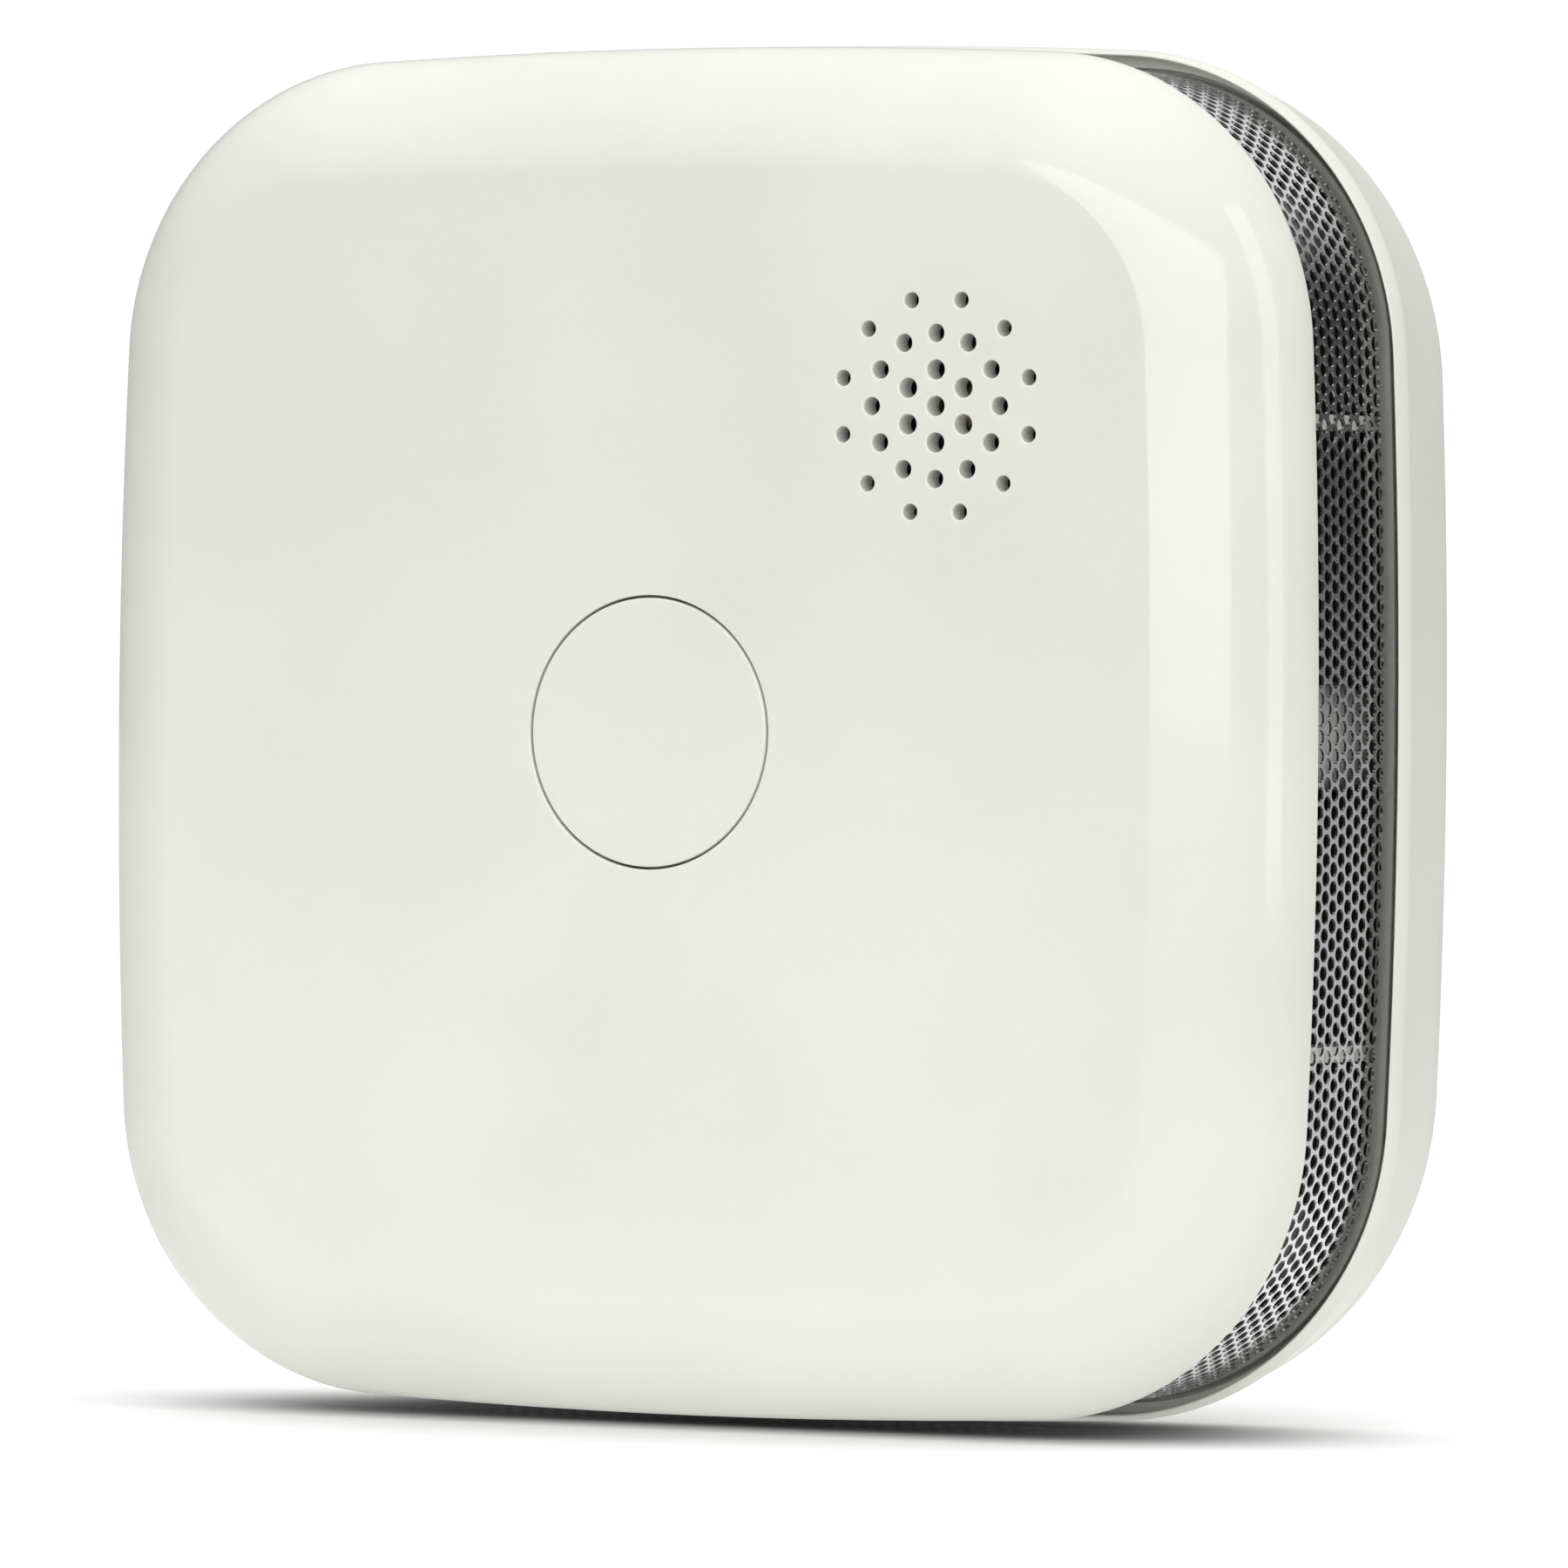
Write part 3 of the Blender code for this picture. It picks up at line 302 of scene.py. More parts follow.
def lathe(profile, steps=TURN_STEPS):
    """A turned solid from (radius, height) points that run down its outer side."""
    bm = bmesh.new()
    columns = []
    for radius, height in profile:
        if radius == 0:
            columns.append([bm.verts.new((0, 0, height))] * steps)
        else:
            ring = [(*polar(radius, i * 360 / steps), height) for i in range(steps)]
            columns.append([bm.verts.new(point) for point in ring])
    pairs = list(zip(columns, columns[1:]))
    if profile[0][0] > 0:
        pairs.append((columns[-1], columns[0]))
    for upper, lower in pairs:
        for i in range(steps):
            following = (i + 1) % steps
            corners = dict.fromkeys((upper[i], lower[i], lower[following], upper[following]))
            if len(corners) > 2:
                bm.faces.new(list(corners))
    bmesh.ops.recalc_face_normals(bm, faces=bm.faces)
    return bm


def add_box(bm, low, high):
    """A box between two corners."""
    size = Vector(high) - Vector(low)
    middle = (Vector(high) + Vector(low)) / 2
    matrix = Matrix.Translation(middle) @ Matrix.Diagonal((*size, 1))
    bmesh.ops.create_cube(bm, size=1, matrix=matrix)


def add_rod(bm, at, radius, low, high, sides=48, along="Z"):
    """A cylinder from low to high along Z or X, through the point at."""
    turn = {"Z": Matrix(), "X": Matrix.Rotation(math.pi / 2, 4, "Y")}[along]
    shift = turn @ Matrix.Translation((0, 0, (low + high) / 2))
    bmesh.ops.create_cone(bm, cap_ends=True, segments=sides, radius1=radius, radius2=radius,
                          depth=high - low, matrix=Matrix.Translation(at) @ shift)


def add_bore(bm, at, radius, low, face, sides=32):
    """A cutter for a hole whose front edge is rounded: a rod that flares out at the face."""
    steps = 4
    profile = [(radius, low)]
    for t in spread(0, math.pi / 2, steps) + [math.pi / 2 * 0.98]:
        profile.append((radius + EDGE - EDGE * math.cos(t), face - EDGE + EDGE * math.sin(t)))
    profile.append((radius + EDGE, face + WALL))
    rings = []
    for ring_radius, height in profile:
        ring = []
        for i in range(sides):
            x, y = polar(ring_radius, i * 360 / sides)
            ring.append(bm.verts.new((at[0] + x, at[1] + y, height)))
        rings.append(ring)
    for lower, upper in zip(rings, rings[1:]):
        for i in range(sides):
            following = (i + 1) % sides
            bm.faces.new((lower[i], lower[following], upper[following], upper[i]))
    bm.faces.new(rings[0])
    bm.faces.new(rings[-1])


def arc_block(bm, section, start, end):
    """A block bent round the axis: a (radius, height) section swept between two angles."""
    steps = max(4, round(abs(end - start)))
    loops = []
    for angle in spread(start, end, steps) + [end]:
        loops.append([bm.verts.new((*polar(radius, angle), height)) for radius, height in section])
    for near, far in zip(loops, loops[1:]):
        for i, corner in enumerate(near):
            following = (i + 1) % len(near)
            bm.faces.new((corner, near[following], far[following], far[i]))
    bm.faces.new(loops[0])
    bm.faces.new(loops[-1])


def ring_section(radius, width, low, high):
    """A rectangle in a (radius, height) section, centred on a radius."""
    inner, outer = radius - width / 2, radius + width / 2
    return [(inner, low), (outer, low), (outer, high), (inner, high)]


def case_screw_places():
    """Where the four case screws stand."""
    return [(x * CASE_SCREW_AT, y * CASE_SCREW_AT) for x in (1, -1) for y in (1, -1)]


def temporary(bm):
    """A bare object from a bmesh, still lying on its back."""
    mesh = bpy.data.meshes.new("work")
    bm.to_mesh(mesh)
    bm.free()
    thing = bpy.data.objects.new("work", mesh)
    bpy.context.scene.collection.objects.link(thing)
    return thing


def evaluated_mesh(thing):
    """The mesh that an object's modifiers give."""
    graph = bpy.context.evaluated_depsgraph_get()
    return bpy.data.meshes.new_from_object(thing.evaluated_get(graph))


def combine(thing, bm, operation):
    """Join a solid to an object, or cut it away, for good."""
    bmesh.ops.recalc_face_normals(bm, faces=bm.faces)
    tool = temporary(bm)
    step = thing.modifiers.new("step", "BOOLEAN")
    step.operation = operation
    step.solver = "EXACT"
    step.object = tool
    result = evaluated_mesh(thing)
    thing.modifiers.clear()
    thing.data = result
    bpy.data.objects.remove(tool)


def finish_piece(name, thing, material, body, replaced, bevel=0.0, weighted=True):
    """Stand a piece up, shade it, give it its material, hang it on its body and hide the solids it
    replaces.
    """
    thing.name = name
    mesh = thing.data
    mesh.name = name
    mesh.transform(UPRIGHT)
    if not mesh.materials:
        mesh.materials.append(material)
    else:
        mesh.materials[0] = material
    mesh.shade_smooth()
    mesh.set_sharp_from_angle(angle=math.radians(35))
    if bevel:
        add_bevel(thing, bevel)
    if weighted:
        normals = thing.modifiers.new("normals", "WEIGHTED_NORMAL")
        normals.keep_sharp = True
        normals.weight = 100
    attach(thing, body)
    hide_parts(*replaced)


def add_bevel(thing, width):
    """Round an object's sharp edges."""
    bevel = thing.modifiers.new("edges", "BEVEL")
    bevel.width = width
    bevel.segments = 2
    bevel.limit_method = "ANGLE"
    bevel.angle_limit = math.radians(40)
    bevel.harden_normals = False


# ---------------------------------------------------------------- materials

def link_node(tree, kind, inputs=None, **settings):
    """Add a node, set its options, and set or link its inputs."""
    node = tree.nodes.new(kind)
    for key, value in settings.items():
        setattr(node, key, value)
    for key, value in (inputs or {}).items():
        if isinstance(value, bpy.types.NodeSocket):
            tree.links.new(value, node.inputs[key])
        else:
            node.inputs[key].default_value = value
    return node


def blank_material(name):
    """A Principled material, its tree and shader, and the place on the object."""
    material = bpy.data.materials.new(name)
    material.use_nodes = True
    tree = material.node_tree
    shader = tree.nodes["Principled BSDF"]
    place = link_node(tree, "ShaderNodeTexCoord").outputs["Object"]
    return material, tree, shader, place


def scaled(tree, value, low, high, out_low, out_high):
    """A value mapped from one range to another."""
    return link_node(tree, "ShaderNodeMapRange", {
        "Value": value, "From Min": low, "From Max": high, "To Min": out_low, "To Max": out_high,
    }).outputs["Result"]


def noise(tree, place, scale, detail=2.0, stretch=None):
    """Noise of a given scale in features per metre, stretched on request."""
    if stretch:
        mapping = link_node(tree, "ShaderNodeMapping", {"Vector": place, "Scale": stretch})
        place = mapping.outputs["Vector"]
    texture = link_node(tree, "ShaderNodeTexNoise", {"Vector": place, "Scale": scale, "Detail": detail})
    return texture.outputs["Fac"]


def mix_colour(tree, share, first, second):
    """A colour between two, each a colour or a socket."""
    mix = link_node(tree, "ShaderNodeMix", {0: share, 6: first, 7: second}, data_type="RGBA")
    return mix.outputs[2]


def add_bump(tree, shader, height, strength, distance):
    """Let a height pattern tilt a shader's normal."""
    bump = link_node(tree, "ShaderNodeBump",
                     {"Height": height, "Strength": strength, "Distance": distance})
    tree.links.new(bump.outputs["Normal"], shader.inputs["Normal"])


def moulded_plastic(name, colour, roughness, spread_of_roughness, grain, grain_depth, specks=0.0,
                    coat=0.0, translucent=0.0):
    """Moulded plastic: faint flow tint, uneven polish, fine skin, stray dust specks."""
    material, tree, shader, place = blank_material(name)
    darker = tuple(c * 0.955 for c in colour)
    flow = scaled(tree, noise(tree, place, 38), 0.35, 0.65, 0, 1)
    tint = mix_colour(tree, flow, (*colour, 1), (*darker, 1))
    if specks:
        cells = link_node(tree, "ShaderNodeTexVoronoi", {"Vector": place, "Scale": 95.0})
        near = scaled(tree, cells.outputs["Distance"], 0.012, 0.028, 1, 0)
        parts = link_node(tree, "ShaderNodeSeparateColor", {"Color": cells.outputs["Color"]})
        chosen = link_node(tree, "ShaderNodeMath", {0: parts.outputs["Red"], 1: specks},
                           operation="LESS_THAN").outputs[0]
        share = link_node(tree, "ShaderNodeMath", {0: near, 1: chosen}, operation="MULTIPLY").outputs[0]
        tint = mix_colour(tree, scaled(tree, share, 0, 1, 0, 0.55), tint, (0.25, 0.17, 0.11, 1))
    tree.links.new(tint, shader.inputs["Base Color"])
    polish = scaled(tree, noise(tree, place, 160, 3), 0.3, 0.7, roughness - spread_of_roughness,
                    roughness + spread_of_roughness)
    tree.links.new(polish, shader.inputs["Roughness"])
    shader.inputs["IOR"].default_value = 1.5
    if translucent:
        shader.inputs["Subsurface Weight"].default_value = translucent
        shader.inputs["Subsurface Radius"].default_value = (1.0, 0.8, 0.55)
        shader.inputs["Subsurface Scale"].default_value = 1.2 * MM
    shader.inputs["Coat Weight"].default_value = coat
    shader.inputs["Coat Roughness"].default_value = 0.06
    add_bump(tree, shader, noise(tree, place, grain, 3), 0.25, grain_depth)
    return material


def metal(name, colour, roughness, grain, stretch, depth, tarnish=(0, 0, 0), tarnish_share=0.0):
    """Metal with drawn lines along one way, uneven polish and a little tarnish."""
    material, tree, shader, place = blank_material(name)
    lines = noise(tree, place, grain, 2, stretch)
    blotch = scaled(tree, noise(tree, place, 210, 3), 0.45, 0.75, 0, tarnish_share)
    drawn = scaled(tree, lines, 0.3, 0.7, 0, 1)
    base = mix_colour(tree, drawn, (*(c * 0.9 for c in colour), 1), (*colour, 1))
    tree.links.new(mix_colour(tree, blotch, base, (*tarnish, 1)), shader.inputs["Base Color"])
    shader.inputs["Metallic"].default_value = 1.0
    polish = scaled(tree, lines, 0.25, 0.75, roughness * 0.75, roughness * 1.3)
    tree.links.new(polish, shader.inputs["Roughness"])
    add_bump(tree, shader, lines, 0.3, depth)
    return material


def circuit_green():
    """Solder mask over copper: tracks along both ways and pads."""
    material, tree, shader, place = blank_material("solder_mask")
    across = link_node(tree, "ShaderNodeTexWave", {"Vector": place, "Scale": 150.0, "Distortion": 3.0,
                                                   "Detail": 0.0, "Detail Scale": 0.4})
    along = link_node(tree, "ShaderNodeTexWave", {"Vector": place, "Scale": 120.0, "Distortion": 3.5,
                                                  "Detail": 0.0, "Detail Scale": 0.5}, bands_direction="Z")
    first = scaled(tree, across.outputs["Fac"], 0.78, 0.84, 0, 1)
    second = scaled(tree, along.outputs["Fac"], 0.8, 0.86, 0, 1)
    zone = scaled(tree, noise(tree, place, 60), 0.48, 0.52, 0, 1)
    tracks = link_node(tree, "ShaderNodeMix", {0: zone, 2: first, 3: second}).outputs[0]
    pads = link_node(tree, "ShaderNodeTexVoronoi", {"Vector": place, "Scale": 330.0})
    pad = scaled(tree, pads.outputs["Distance"], 0.16, 0.2, 1, 0)
    green = mix_colour(tree, tracks, (0.012, 0.10, 0.045, 1), (0.03, 0.21, 0.08, 1))
    tree.links.new(mix_colour(tree, pad, green, (0.62, 0.60, 0.55, 1)), shader.inputs["Base Color"])
    tree.links.new(scaled(tree, tracks, 0, 1, 0.42, 0.3), shader.inputs["Roughness"])
    tree.links.new(scaled(tree, pad, 0, 1, 0, 0.9), shader.inputs["Metallic"])
    add_bump(tree, shader, tracks, 0.4, 0.05 * MM)
    return material


def foam():
    """Open-faced foam: small cells between lighter walls, the cells darkened as painted shade in their
    hollows.
    """
    material, tree, shader, place = blank_material("grey_foam")
    cells = link_node(tree, "ShaderNodeTexVoronoi", {"Vector": place, "Scale": 1900.0})
    wall = scaled(tree, cells.outputs["Distance"], 0.1, 0.6, 0, 1)
    # painted shade: the cells, which the bump makes into hollows, get the darker grey
    grey = mix_colour(tree, wall, (0.07, 0.07, 0.075, 1), (0.2, 0.2, 0.21, 1))
    tree.links.new(grey, shader.inputs["Base Color"])
    tree.links.new(scaled(tree, wall, 0, 1, 0.95, 0.8), shader.inputs["Roughness"])
    add_bump(tree, shader, wall, 0.8, 0.2 * MM)
    return material


def resin(name, colour, transmission):
    """Clear or dark lens resin with tiny flow marks."""
    material, tree, shader, place = blank_material(name)
    flow = scaled(tree, noise(tree, place, 500), 0.3, 0.7, 0, 1)
    tint = mix_colour(tree, flow, (*colour, 1), (*(c * 0.85 for c in colour), 1))
    tree.links.new(tint, shader.inputs["Base Color"])
    tree.links.new(scaled(tree, flow, 0, 1, 0.05, 0.12), shader.inputs["Roughness"])
    shader.inputs["Transmission Weight"].default_value = transmission
    shader.inputs["IOR"].default_value = 1.52
    add_bump(tree, shader, flow, 0.1, 0.05 * MM)
    return material


WHITE_GLOSS = moulded_plastic("white_gloss", (0.685, 0.693, 0.636), 0.09, 0.02, 900, 0.01 * MM,
                              specks=0.006, coat=0.15, translucent=0.5)
WHITE_SATIN = moulded_plastic("white_satin", (0.685, 0.693, 0.636), 0.34, 0.05, 1400, 0.012 * MM, 0.005)
PLATE_SATIN = moulded_plastic("plate_satin", (0.675, 0.683, 0.628), 0.34, 0.06, 1700, 0.02 * MM, 0.004)
BLACK_PLASTIC = moulded_plastic("black_plastic", (0.022, 0.021, 0.021), 0.5, 0.1, 2400, 0.06 * MM)
CHIP_BLACK = moulded_plastic("chip_black", (0.035, 0.035, 0.036), 0.48, 0.08, 4200, 0.03 * MM)
CELL_SLEEVE = moulded_plastic("cell_sleeve", (0.10, 0.22, 0.44), 0.36, 0.06, 600, 0.05 * MM)
CAPACITOR_SLEEVE = moulded_plastic("capacitor_sleeve", (0.05, 0.06, 0.17), 0.36, 0.06, 800, 0.05 * MM)
LEAD_RED = moulded_plastic("lead_red", (0.5, 0.03, 0.025), 0.4, 0.06, 3000, 0.02 * MM)
LEAD_BLACK = moulded_plastic("lead_black", (0.03, 0.03, 0.03), 0.42, 0.06, 3000, 0.02 * MM)
STEEL = metal("perforated_steel", (0.72, 0.725, 0.73), 0.2, 900, (1, 1, 6), 0.01 * MM)
ZINC = metal("zinc_steel", (0.58, 0.58, 0.6), 0.38, 1500, (1, 3, 1), 0.02 * MM, (0.4, 0.38, 0.3), 0.3)
NICKEL = metal("nickel_strip", (0.70, 0.67, 0.61), 0.2, 1400, (6, 1, 1), 0.01 * MM,
               (0.45, 0.4, 0.3), 0.25)
BRASS = metal("brass_disc", (0.76, 0.58, 0.27), 0.2, 1200, (5, 1, 1), 0.02 * MM, (0.35, 0.22, 0.1), 0.35)


# ---------------------------------------------------------------- pieces

def front_cover():
    """The glossy shell, with edges rounded at its rim, the button's hole and the grille."""
    ceiling = FACE_HEIGHT - WALL
    edge = 0.25 * MM
    outside = roll_over(FACE_HALF, HALF, FACE_HEIGHT, RIM_HEIGHT + edge)
    rounded = [(HALF - edge + edge * math.cos(t), RIM_HEIGHT + edge - edge * math.sin(t))
               for t in (math.pi / 6, math.pi / 3, math.pi / 2)]
    slot_out, slot_in = MESH_HALF + GAP, MESH_HALF - MESH_SHEET - GAP
    groove = [(slot_out, RIM_HEIGHT), (slot_out, RIM_HEIGHT + GROOVE_DEPTH),
              (slot_in, RIM_HEIGHT + GROOVE_DEPTH), (slot_in, RIM_HEIGHT)]
    inside = roll_over(FACE_HALF - GAP * 2, INSIDE_HALF, ceiling, RIM_HEIGHT, 12)
    profile = outside + rounded + groove + inside[::-1]
    shell = temporary(loft([cover_ring(*p) for p in profile]))
    bosses = bmesh.new()
    for x, y in case_screw_places():
        add_rod(bosses, (x, y, 0), COVER_BOSS_RADIUS, RIM_HEIGHT, ceiling + WALL / 2, 32)
    combine(shell, bosses, "UNION")
    holes = bmesh.new()
    add_bore(holes, (0, 0), BUTTON_HOLE, ceiling - WALL, FACE_HEIGHT, TURN_STEPS)
    add_bore(holes, GRILLE_AT, GRILLE_RINGS[0][2] * MM, ceiling - WALL, FACE_HEIGHT)
    for ring, (count, turn, radius) in enumerate(GRILLE_RINGS, 1):
        for i in range(count):
            x, y = polar(ring * GRILLE_PITCH, 90 + (i + turn) * 360 / count)
            at = (GRILLE_AT[0] + x, GRILLE_AT[1] + y)
            add_bore(holes, at, radius * MM, ceiling - WALL, FACE_HEIGHT)
    for x, y in case_screw_places():
        add_rod(holes, (x, y, 0), CASE_HOLE_RADIUS, RIM_HEIGHT - WALL, CASE_HOLE_END, 24)
    combine(shell, holes, "DIFFERENCE")
    finish_piece("cover_shell", shell, WHITE_GLOSS, "detector", ["front_cover"])


def test_button():
    """The flush button, with a soft edge, a flange and a stem."""
    ceiling = FACE_HEIGHT - WALL
    flange, depth = FLANGE
    flange_top, flange_low = ceiling - GAP, ceiling - depth
    edge = 0.18 * MM
    rounded = [(BUTTON_RADIUS - edge + edge * math.sin(t), FACE_HEIGHT - edge + edge * math.cos(t))
               for t in spread(0, math.pi / 2, 5) + [math.pi / 2]]
    profile = [(0, FACE_HEIGHT)] + rounded + [
        (BUTTON_RADIUS, flange_top), (flange, flange_top), (flange, flange_low),
        (CUP_RADIUS, flange_low), (CUP_RADIUS, CUP_TOP), (STEM_RADIUS, CUP_TOP),
        (STEM_RADIUS, STEM_END), (0, STEM_END)]
    cap = temporary(lathe(profile))
    finish_piece("button_cap", cap, WHITE_GLOSS, "test_button", ["test_button"])


class Track:
    """The closed outline that the band follows, with places found by distance along it."""

    def __init__(self, half):
        self.points = outline(half, CORNER - (HALF - half), 60, 160)
        self.reach = [0.0]
        closing = self.points[1:] + self.points[:1]
        for here, there in zip(self.points, closing):
            self.reach.append(self.reach[-1] + (there - here).length)
        self.length = self.reach[-1]

    def at(self, distance):
        """The point and the outward direction at a distance along the outline."""
        distance %= self.length
        i = min(bisect.bisect_right(self.reach, distance) - 1, len(self.points) - 1)
        here, there = self.points[i], self.points[(i + 1) % len(self.points)]
        along = there - here
        share = (distance - self.reach[i]) / along.length
        return here + along * share, Vector((along.y, -along.x)).normalized()


def insect_mesh():
    """The band of thin steel: staggered rows of round holes between two plain margins."""
    track = Track(MESH_HALF)
    count = round(track.length / HOLE_PITCH)
    half_pitch = track.length / count / 2
    row_step = HOLE_PITCH * math.sqrt(3) / 2
    bottom = SHELF_HEIGHT - GROOVE_DEPTH + GAP
    top = RIM_HEIGHT + GROOVE_DEPTH - GAP
    lines = [FIRST_ROW + (k - 0.5) * row_step for k in range(HOLE_ROWS + 1)]
    bm = bmesh.new()

    def side(inset):
        """One face of the sheet: its vertices on the grid, and the rim of each hole."""
        def vertex(distance, height):
            point, outward = track.at(distance)
            point = point - outward * inset
            return bm.verts.new((point.x, point.y, height))

        grid = []
        for height in [bottom] + lines + [top]:
            grid.append([vertex(m * half_pitch, height) for m in range(2 * count)])
        for low, high in ((grid[0], grid[1]), (grid[-2], grid[-1])):
            for m in range(2 * count):
                n = (m + 1) % (2 * count)
                bm.faces.new((low[m], low[n], high[n], high[m]))
        rims = []
        for k in range(HOLE_ROWS):
            low, high = grid[k + 1], grid[k + 2]
            middle = FIRST_ROW + k * row_step
            for i in range(count):
                c = 2 * i + k % 2
                left, right = (c - 1) % (2 * count), (c + 1) % (2 * count)
                rim = []
                for j in range(HOLE_SIDES):
                    along, up = polar(HOLE_RADIUS, 90 + j * 360 / HOLE_SIDES)
                    rim.append(vertex(c * half_pitch + along, middle + up))
                half = HOLE_SIDES // 2
                c %= 2 * count
                bm.faces.new([high[c], high[left], low[left], low[c]] + rim[half::-1])
                bm.faces.new([low[c], low[right], high[right], high[c]] + rim[:1] + rim[:half - 1:-1])
                rims.append(rim)
        return grid, rims

    outer_grid, outer_rims = side(0)
    inner_grid, inner_rims = side(SHEET)
    loops = list(zip(outer_rims, inner_rims))
    loops += [(outer_grid[0], inner_grid[0]), (outer_grid[-1], inner_grid[-1])]
    for outer, inner in loops:
        for i in range(len(outer)):
            following = (i + 1) % len(outer)
            bm.faces.new((outer[i], outer[following], inner[following], inner[i]))
    bmesh.ops.recalc_face_normals(bm, faces=bm.faces)
    band = temporary(bm)
    finish_piece("mesh_band", band, STEEL, "detector", ["insect_mesh"], weighted=False)


def rear_housing():
    """The base: skin with its lip, plate recess, hooks, battery bay, bosses, posts and ribs."""
    slot_out, slot_in = MESH_HALF + GAP, MESH_HALF - MESH_SHEET - GAP
    groove_floor = SHELF_HEIGHT - GROOVE_DEPTH
    outside = corner_arc(BASE_HALF, BASE_HEIGHT, BASE_ROUND)
    edge = 0.35 * MM
    lip = [(LIP_HALF - edge / 6, LIP_FOOT - edge), (LIP_HALF, LIP_FOOT),
           (LIP_HALF - 0.12 * MM, LIP_FOOT + 0.5 * MM),
           (LIP_HALF - LIP_BEVEL, LIP_HEIGHT - LIP_BEVEL / 2),
           (LIP_HALF - 1.25 * LIP_BEVEL, LIP_HEIGHT - LIP_BEVEL / 8),
           (LIP_HALF - 1.5 * LIP_BEVEL, LIP_HEIGHT),
           (LIP_HALF - 1.8 * LIP_BEVEL, LIP_HEIGHT - LIP_BEVEL / 4),
           (LIP_HALF - 2 * LIP_BEVEL, SHELF_HEIGHT)]
    groove = [(slot_out, SHELF_HEIGHT), (slot_out, groove_floor), (slot_in, groove_floor),
              (slot_in, SHELF_HEIGHT), (INSIDE_HALF, SHELF_HEIGHT)]
    inside = corner_arc(INSIDE_HALF, BASE_FLOOR, BASE_ROUND - WALL)
    rings = [base_ring(*p) for p in outside] + [lip_ring(*p) for p in lip]
    shell = temporary(loft(rings + [cover_ring(*p) for p in groove + inside[::-1]]))
    floor = RECESS_FLOOR + WALL
    start = BASE_HEIGHT + BEDDED
    solids = bmesh.new()
    add_rod(solids, (0, 0, 0), RECESS_RADIUS + WALL, start, floor, TURN_STEPS)
    combine(shell, solids, "UNION")
    solids = bmesh.new()
    for x, y in case_screw_places():
        add_rod(solids, (x, y, 0), BASE_BOSS_RADIUS, start, RIM_HEIGHT - GAP)
    for side in (-1, 1):
        add_rod(solids, (side * POST_AT, 0, 0), POST_RADIUS, start, BOARD_REAR - GAP)
    (near, far), half = RIB_SPAN, RIB_THICK / 2
    low, high = BASE_HEIGHT + RIB_START, RIM_HEIGHT - GAP
    for up in (-RIB_AT, RIB_AT):
        add_box(solids, (near, up - half, low), (far, up + half, high))
        add_box(solids, (-far, up - half, low), (-near, up + half, high))
    combine(shell, solids, "UNION")
    wide, bottom, top = BAY_HALF + BAY_WALL, BAY_BOTTOM - BAY_WALL, BAY_TOP + BAY_WALL
    solids = bmesh.new()
    add_box(solids, (-wide - COLLAR, bottom - COLLAR, floor - BEDDED),
            (wide + COLLAR, top + COLLAR, floor + COLLAR_HEIGHT))
    combine(shell, solids, "UNION")
    solids = bmesh.new()
    add_box(solids, (-wide, bottom, floor - BEDDED / 2), (wide, top, BAY_ROOF + BAY_WALL))
    combine(shell, solids, "UNION")
    recess = bmesh.new()
    add_rod(recess, (0, 0, 0), RECESS_RADIUS, -WALL, RECESS_FLOOR, TURN_STEPS)
    combine(shell, recess, "DIFFERENCE")
    cuts = bmesh.new()
    add_box(cuts, (-BAY_HALF, BAY_BOTTOM, -WALL), (BAY_HALF, BAY_TOP, BAY_ROOF))
    combine(shell, cuts, "DIFFERENCE")
    axis_up, axis_out = DOOR_AXIS
    cuts = bmesh.new()
    add_box(cuts, (-DOOR_HALF - GAP, DOOR_BOTTOM - GAP, -WALL),
            (DOOR_HALF + GAP, axis_up + DOOR_BARREL + BARREL_PLAY, floor))
    combine(shell, cuts, "DIFFERENCE")
    cuts = bmesh.new()
    add_rod(cuts, (0, axis_up, axis_out), PEG_RADIUS + PEG_PLAY, -DOOR_HALF - PEG_LENGTH - GAP,
            DOOR_HALF + PEG_LENGTH + GAP, 24, "X")
    add_box(cuts, (-TAB_HALF - TAB_PLAY, DOOR_BOTTOM - TAB_LENGTH - TAB_PLAY, -WALL),
            (TAB_HALF + TAB_PLAY, DOOR_BOTTOM, RECESS_FLOOR + TAB_THICK + GAP))
    for x, y in case_screw_places():
        add_rod(cuts, (x, y, 0), WELL_RADIUS, -WALL, WELL_FLOOR)
    for side in (-1, 1):
        add_rod(cuts, (side * POST_AT, 0, 0), BOARD_HOLE_RADIUS, *SCREW_HOLES, 24)
    combine(shell, cuts, "DIFFERENCE")
    cuts = bmesh.new()
    for x, y in case_screw_places():
        add_rod(cuts, (x, y, 0), CASE_HOLE_RADIUS, *SCREW_HOLES, 24)
    combine(shell, cuts, "DIFFERENCE")
    stem_in, stem_out = HOOK_RADIUS - HOOK_STEM / 2, HOOK_RADIUS + HOOK_STEM / 2
    head_in, head_out = HOOK_RADIUS - HOOK_HEAD / 2, HOOK_RADIUS + HOOK_HEAD / 2
    neck = PLATE_WEB - GAP
    section = [(head_in, HOOK_TOP), (head_out, HOOK_TOP), (head_out, neck), (stem_out, neck),
               (stem_out, floor - BEDDED), (stem_in, floor - BEDDED), (stem_in, neck), (head_in, neck)]
    hooks = bmesh.new()
    for angle in HOOK_ANGLES:
        arc_block(hooks, section, angle - HOOK_SPAN / 2, angle + HOOK_SPAN / 2)
    combine(shell, hooks, "UNION")
    finish_piece("base_shell", shell, WHITE_SATIN, "detector", ["rear_housing"])


def add_slab(bm, offset, turned_up, size, low, high):
    """A slab offset along X, or along Y if turned up; size is across and along the ring."""
    across, along = size[0] / 2, size[1] / 2
    if turned_up:
        add_box(bm, (-along, offset - across, low), (along, offset + across, high))
    else:
        add_box(bm, (offset - across, -along, low), (offset + across, along, high))


